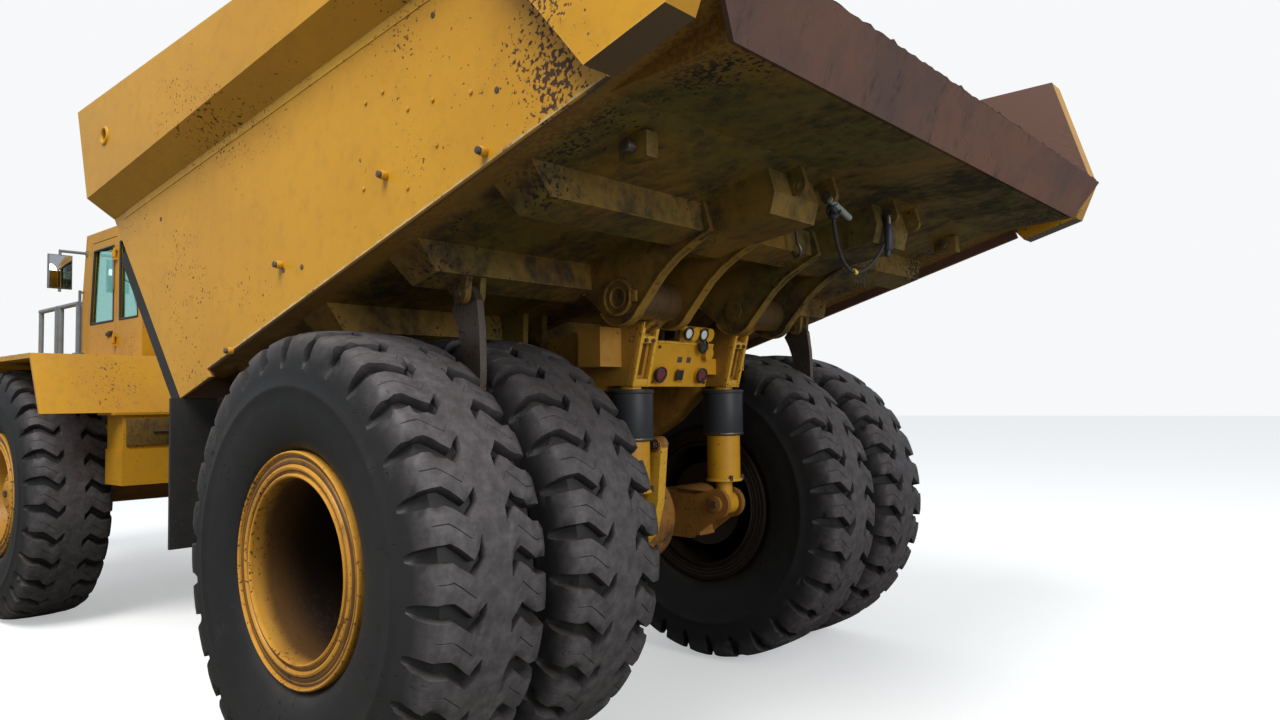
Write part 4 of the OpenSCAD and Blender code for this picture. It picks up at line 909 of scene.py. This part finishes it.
parts = [block((3.058, -.745, z), (3.082, .745, z + .014), trim) for z in (.686, 1.0)]
parts += [bar((3.062, y, .69), Z * .32, .006, trim, 12) for y in np.linspace(-.7, .7, 15)]
for side in SIDES:
    y = side * .858
    parts += [block((1.45, y - .006, z), (1.95, y + .006, z + .015), trim, .002)
              for z in (.8 + .06 * slat for slat in range(6))]
    parts += [bar((x, side * .855, 1.02), Y * side * .04, .01, steel) for x in (2.55, 2.75)]
    parts.append(bar((2.54, side * .893, 1.02), X * .22, .011, steel))
join("hood_fittings", parts, "hood", AT_FRONT)

# %% [markdown]
# ## The cab
# A cab's windows sit in rubber seals, so each opening gets a thin dark line round it. The seat and
# the wheel show through the glass. The seat's pads are blocks whose faces swell between their
# edges, as foam under cloth does.

# %% Cab and door fittings
SILL, EAVE, CAB_TOP, SEAL = 1.6, 2.365, 2.535, .012
REAR_WIN = [(-.29, SILL), (.16, SILL), (.16, EAVE), (-.29, EAVE)]
RIGHT_WIN = [(.23, SILL), (.95, SILL), (.85, EAVE), (.23, EAVE)]
DOOR_WIN = [(.32, SILL), (.94, SILL), (.85, 2.345), (.32, 2.345)]
BACK_WIN = [(-.8, SILL), (.8, SILL), (.8, EAVE), (-.8, EAVE)]


def round_edge(opening):
    """An opening's edges, corner to corner."""
    return zip(opening, opening[1:] + opening[:1])


def seal(opening, y):
    """A rubber seal along the edge of an opening in a side wall."""
    return [rod((a[0], y, a[1]), (b[0], y, b[1]), SEAL, boot_rubber, 12) for a, b in round_edge(opening)]


parts = seal(REAR_WIN, .956) + seal(REAR_WIN, -.956) + seal(RIGHT_WIN, -.956)
parts += [rod((-.398, *a), (-.398, *b), SEAL, boot_rubber, 12) for a, b in round_edge(BACK_WIN)]
for y in (-.25, .35):
    parts += [rod((1.235, y, 1.6), (1.12, y + .15, 2.1), .008, trim, 12),
              rod((1.135, y - .07, 1.98), (1.115, y + .31, 2.16), .007, trim, 12)]
parts.append(block((-.36, -.9, CAB_TOP - .002), (1.02, .9, CAB_TOP + .018), cab_paint, .012))
for y in (-.62, .62):
    parts += [block((.99, y - .09, 2.44), (1.06, y + .09, 2.54), trim, .01),
              bar((1.055, y, 2.49), X * .013, .036, clear_lens, 32, .004)]
parts.append(bar((-.22, -.7, CAB_TOP), Z * .03, .05, trim, 32, .004))
for side in SIDES:
    parts += [block((1.036, side * 1.21 - .1, 1.97), (1.048, side * 1.21 + .1, 2.3), mirror_glass, .003),
              bar((1.16, side * .965, 1.3), Y * side * .03, .012, tube_paint),
              bar((1.16, side * .965, 1.95), Y * side * .03, .012, tube_paint),
              bar((1.16, side * .993, 1.28), Z * .69, .014, tube_paint)]
join("cab_fittings", parts, "front_frame", AT_FRONT)

parts = seal(DOOR_WIN, .957) + [block((.345, .956, 1.452), (.46, .985, 1.488), trim, .006),
                                bar((.3, .972, 1.9), Z * .4, .01, tube_paint)]
join("door_fittings", parts, "cab_door", AT_FRONT)

# %% Wheel, levers and seat
column = Vector((.86, 0, 1.49))
hub, lean = column + Vector((-.17, 0, .17)), Z - X
parts = [rod(column, hub, .028, plastic), hoop(hub, lean, .215, .014, .014, plastic, 64),
         bar(hub + lean * .012, lean * -.024, .045, plastic, 32, .006)]
for index in range(3):
    spoke = Matrix.Rotation(math.tau * index / 3, 3, lean.normalized()) @ Y
    parts.append(bar(hub, spoke * .212, .01, plastic, 12))
for y in (-.33, .33):
    parts += [block((.02, y - .035, 1.28), (.4, y + .035, 1.56), plastic, .02),
              bar((.3, y, 1.56), Z * .12, .014, plastic),
              bar((.3, y, 1.66), Z * .04, .024, plastic, 20, .006)]
parts.append(block((.885, -.3, 1.49), (.925, .3, 1.6), plastic, .02))
join("cab_controls", parts, "front_frame", AT_FRONT)


def cushion(name, low, high, crown):
    """A padded block with crowned faces and soft edges."""
    low, high = Vector(low) + FRONT, Vector(high) + FRONT
    made = block(low, high, seat_cloth, 0)
    change(made, "BEVEL", width=.03, segments=3)
    change(made, "SUBSURF", levels=2, render_levels=2)
    middle, half = (low + high) / 2, (high - low) / 2
    for vertex in made.data.vertices:
        away = [(vertex.co[i] - middle[i]) / half[i] for i in range(3)]
        for i in range(3):
            swell = crown[i] * (1 - away[(i + 1) % 3] ** 2) * (1 - away[(i + 2) % 3] ** 2)
            vertex.co[i] += swell * away[i]
    bpy.ops.object.shade_smooth()
    declare(made, name, "front_frame")


cushion("seat_cushion", (-.085, -.255, 1.275), (.44, .255, 1.405), (0, 0, .025))
cushion("seat_back", (-.15, -.245, 1.405), (-.022, .245, 2.055), (.02, 0, 0))

# %% [markdown]
# ## Decks and exhaust
# Thin flats cross each step to give a boot grip, flanges hold the rails' feet, and a row of bolts
# holds each deck. The exhaust wears a shield of bars and a flap that keeps the rain out.

# %% Decks, steps and boxes
parts = []
for side in SIDES:
    y, box = side * 1.35, side * 1.17
    for z in (-.125 + .215 * step for step in range(4)):
        parts += [block((x, y - .215, z), (x + .022, y + .215, z + .007), steel, .001)
                  for x in (1.39, 1.44, 1.49)]
    parts += [bar((x, side * 1.7, 1.18), Z * .012, .042, tube_paint, 24, .002)
              for x in (-1.08, -.66, -.56, -.14)]
    parts += [bar((-1.0 + .24 * bolt, side * 2.02, 1.18), Z * .008, .01, steel, 6) for bolt in range(9)]
    parts += [block((-1.47, box - .3, .43), (-1.488, box + .3, .65), hinge_paint, .006),
              bar((-1.3, y, .7), Z * .045, .05, steel, 32, .005),
              hoop((-1.3, y, .745), Z, .035, .008, .008, steel, 32),
              bar((-1.495, box - .1, .54), Y * .2, .009, steel, 12)]
join("deck_fittings", parts, "front_frame", AT_FRONT)

# %% Exhaust
STACK = Vector((-.6, -1.13, 0))
parts = [hoop(STACK + Z * 1.19, Z, .078, .012, .02, steel),
         bar(STACK + Z * 1.45, Z * .55, .082, heat_shield, 48, .006)]
for index in range(16):
    a = math.tau * index / 16
    edge = STACK + Vector((.083 * math.cos(a), .083 * math.sin(a), 1.5))
    parts.append(bar(edge, Z * .45, .004, trim, 8))
parts += [bar(STACK + Z * 2.184, Z * .008, .076, steel, 40), bar((-.675, -1.17, 2.178), Y * .08, .01, steel)]
join("exhaust_fittings", parts, "front_frame", AT_FRONT)
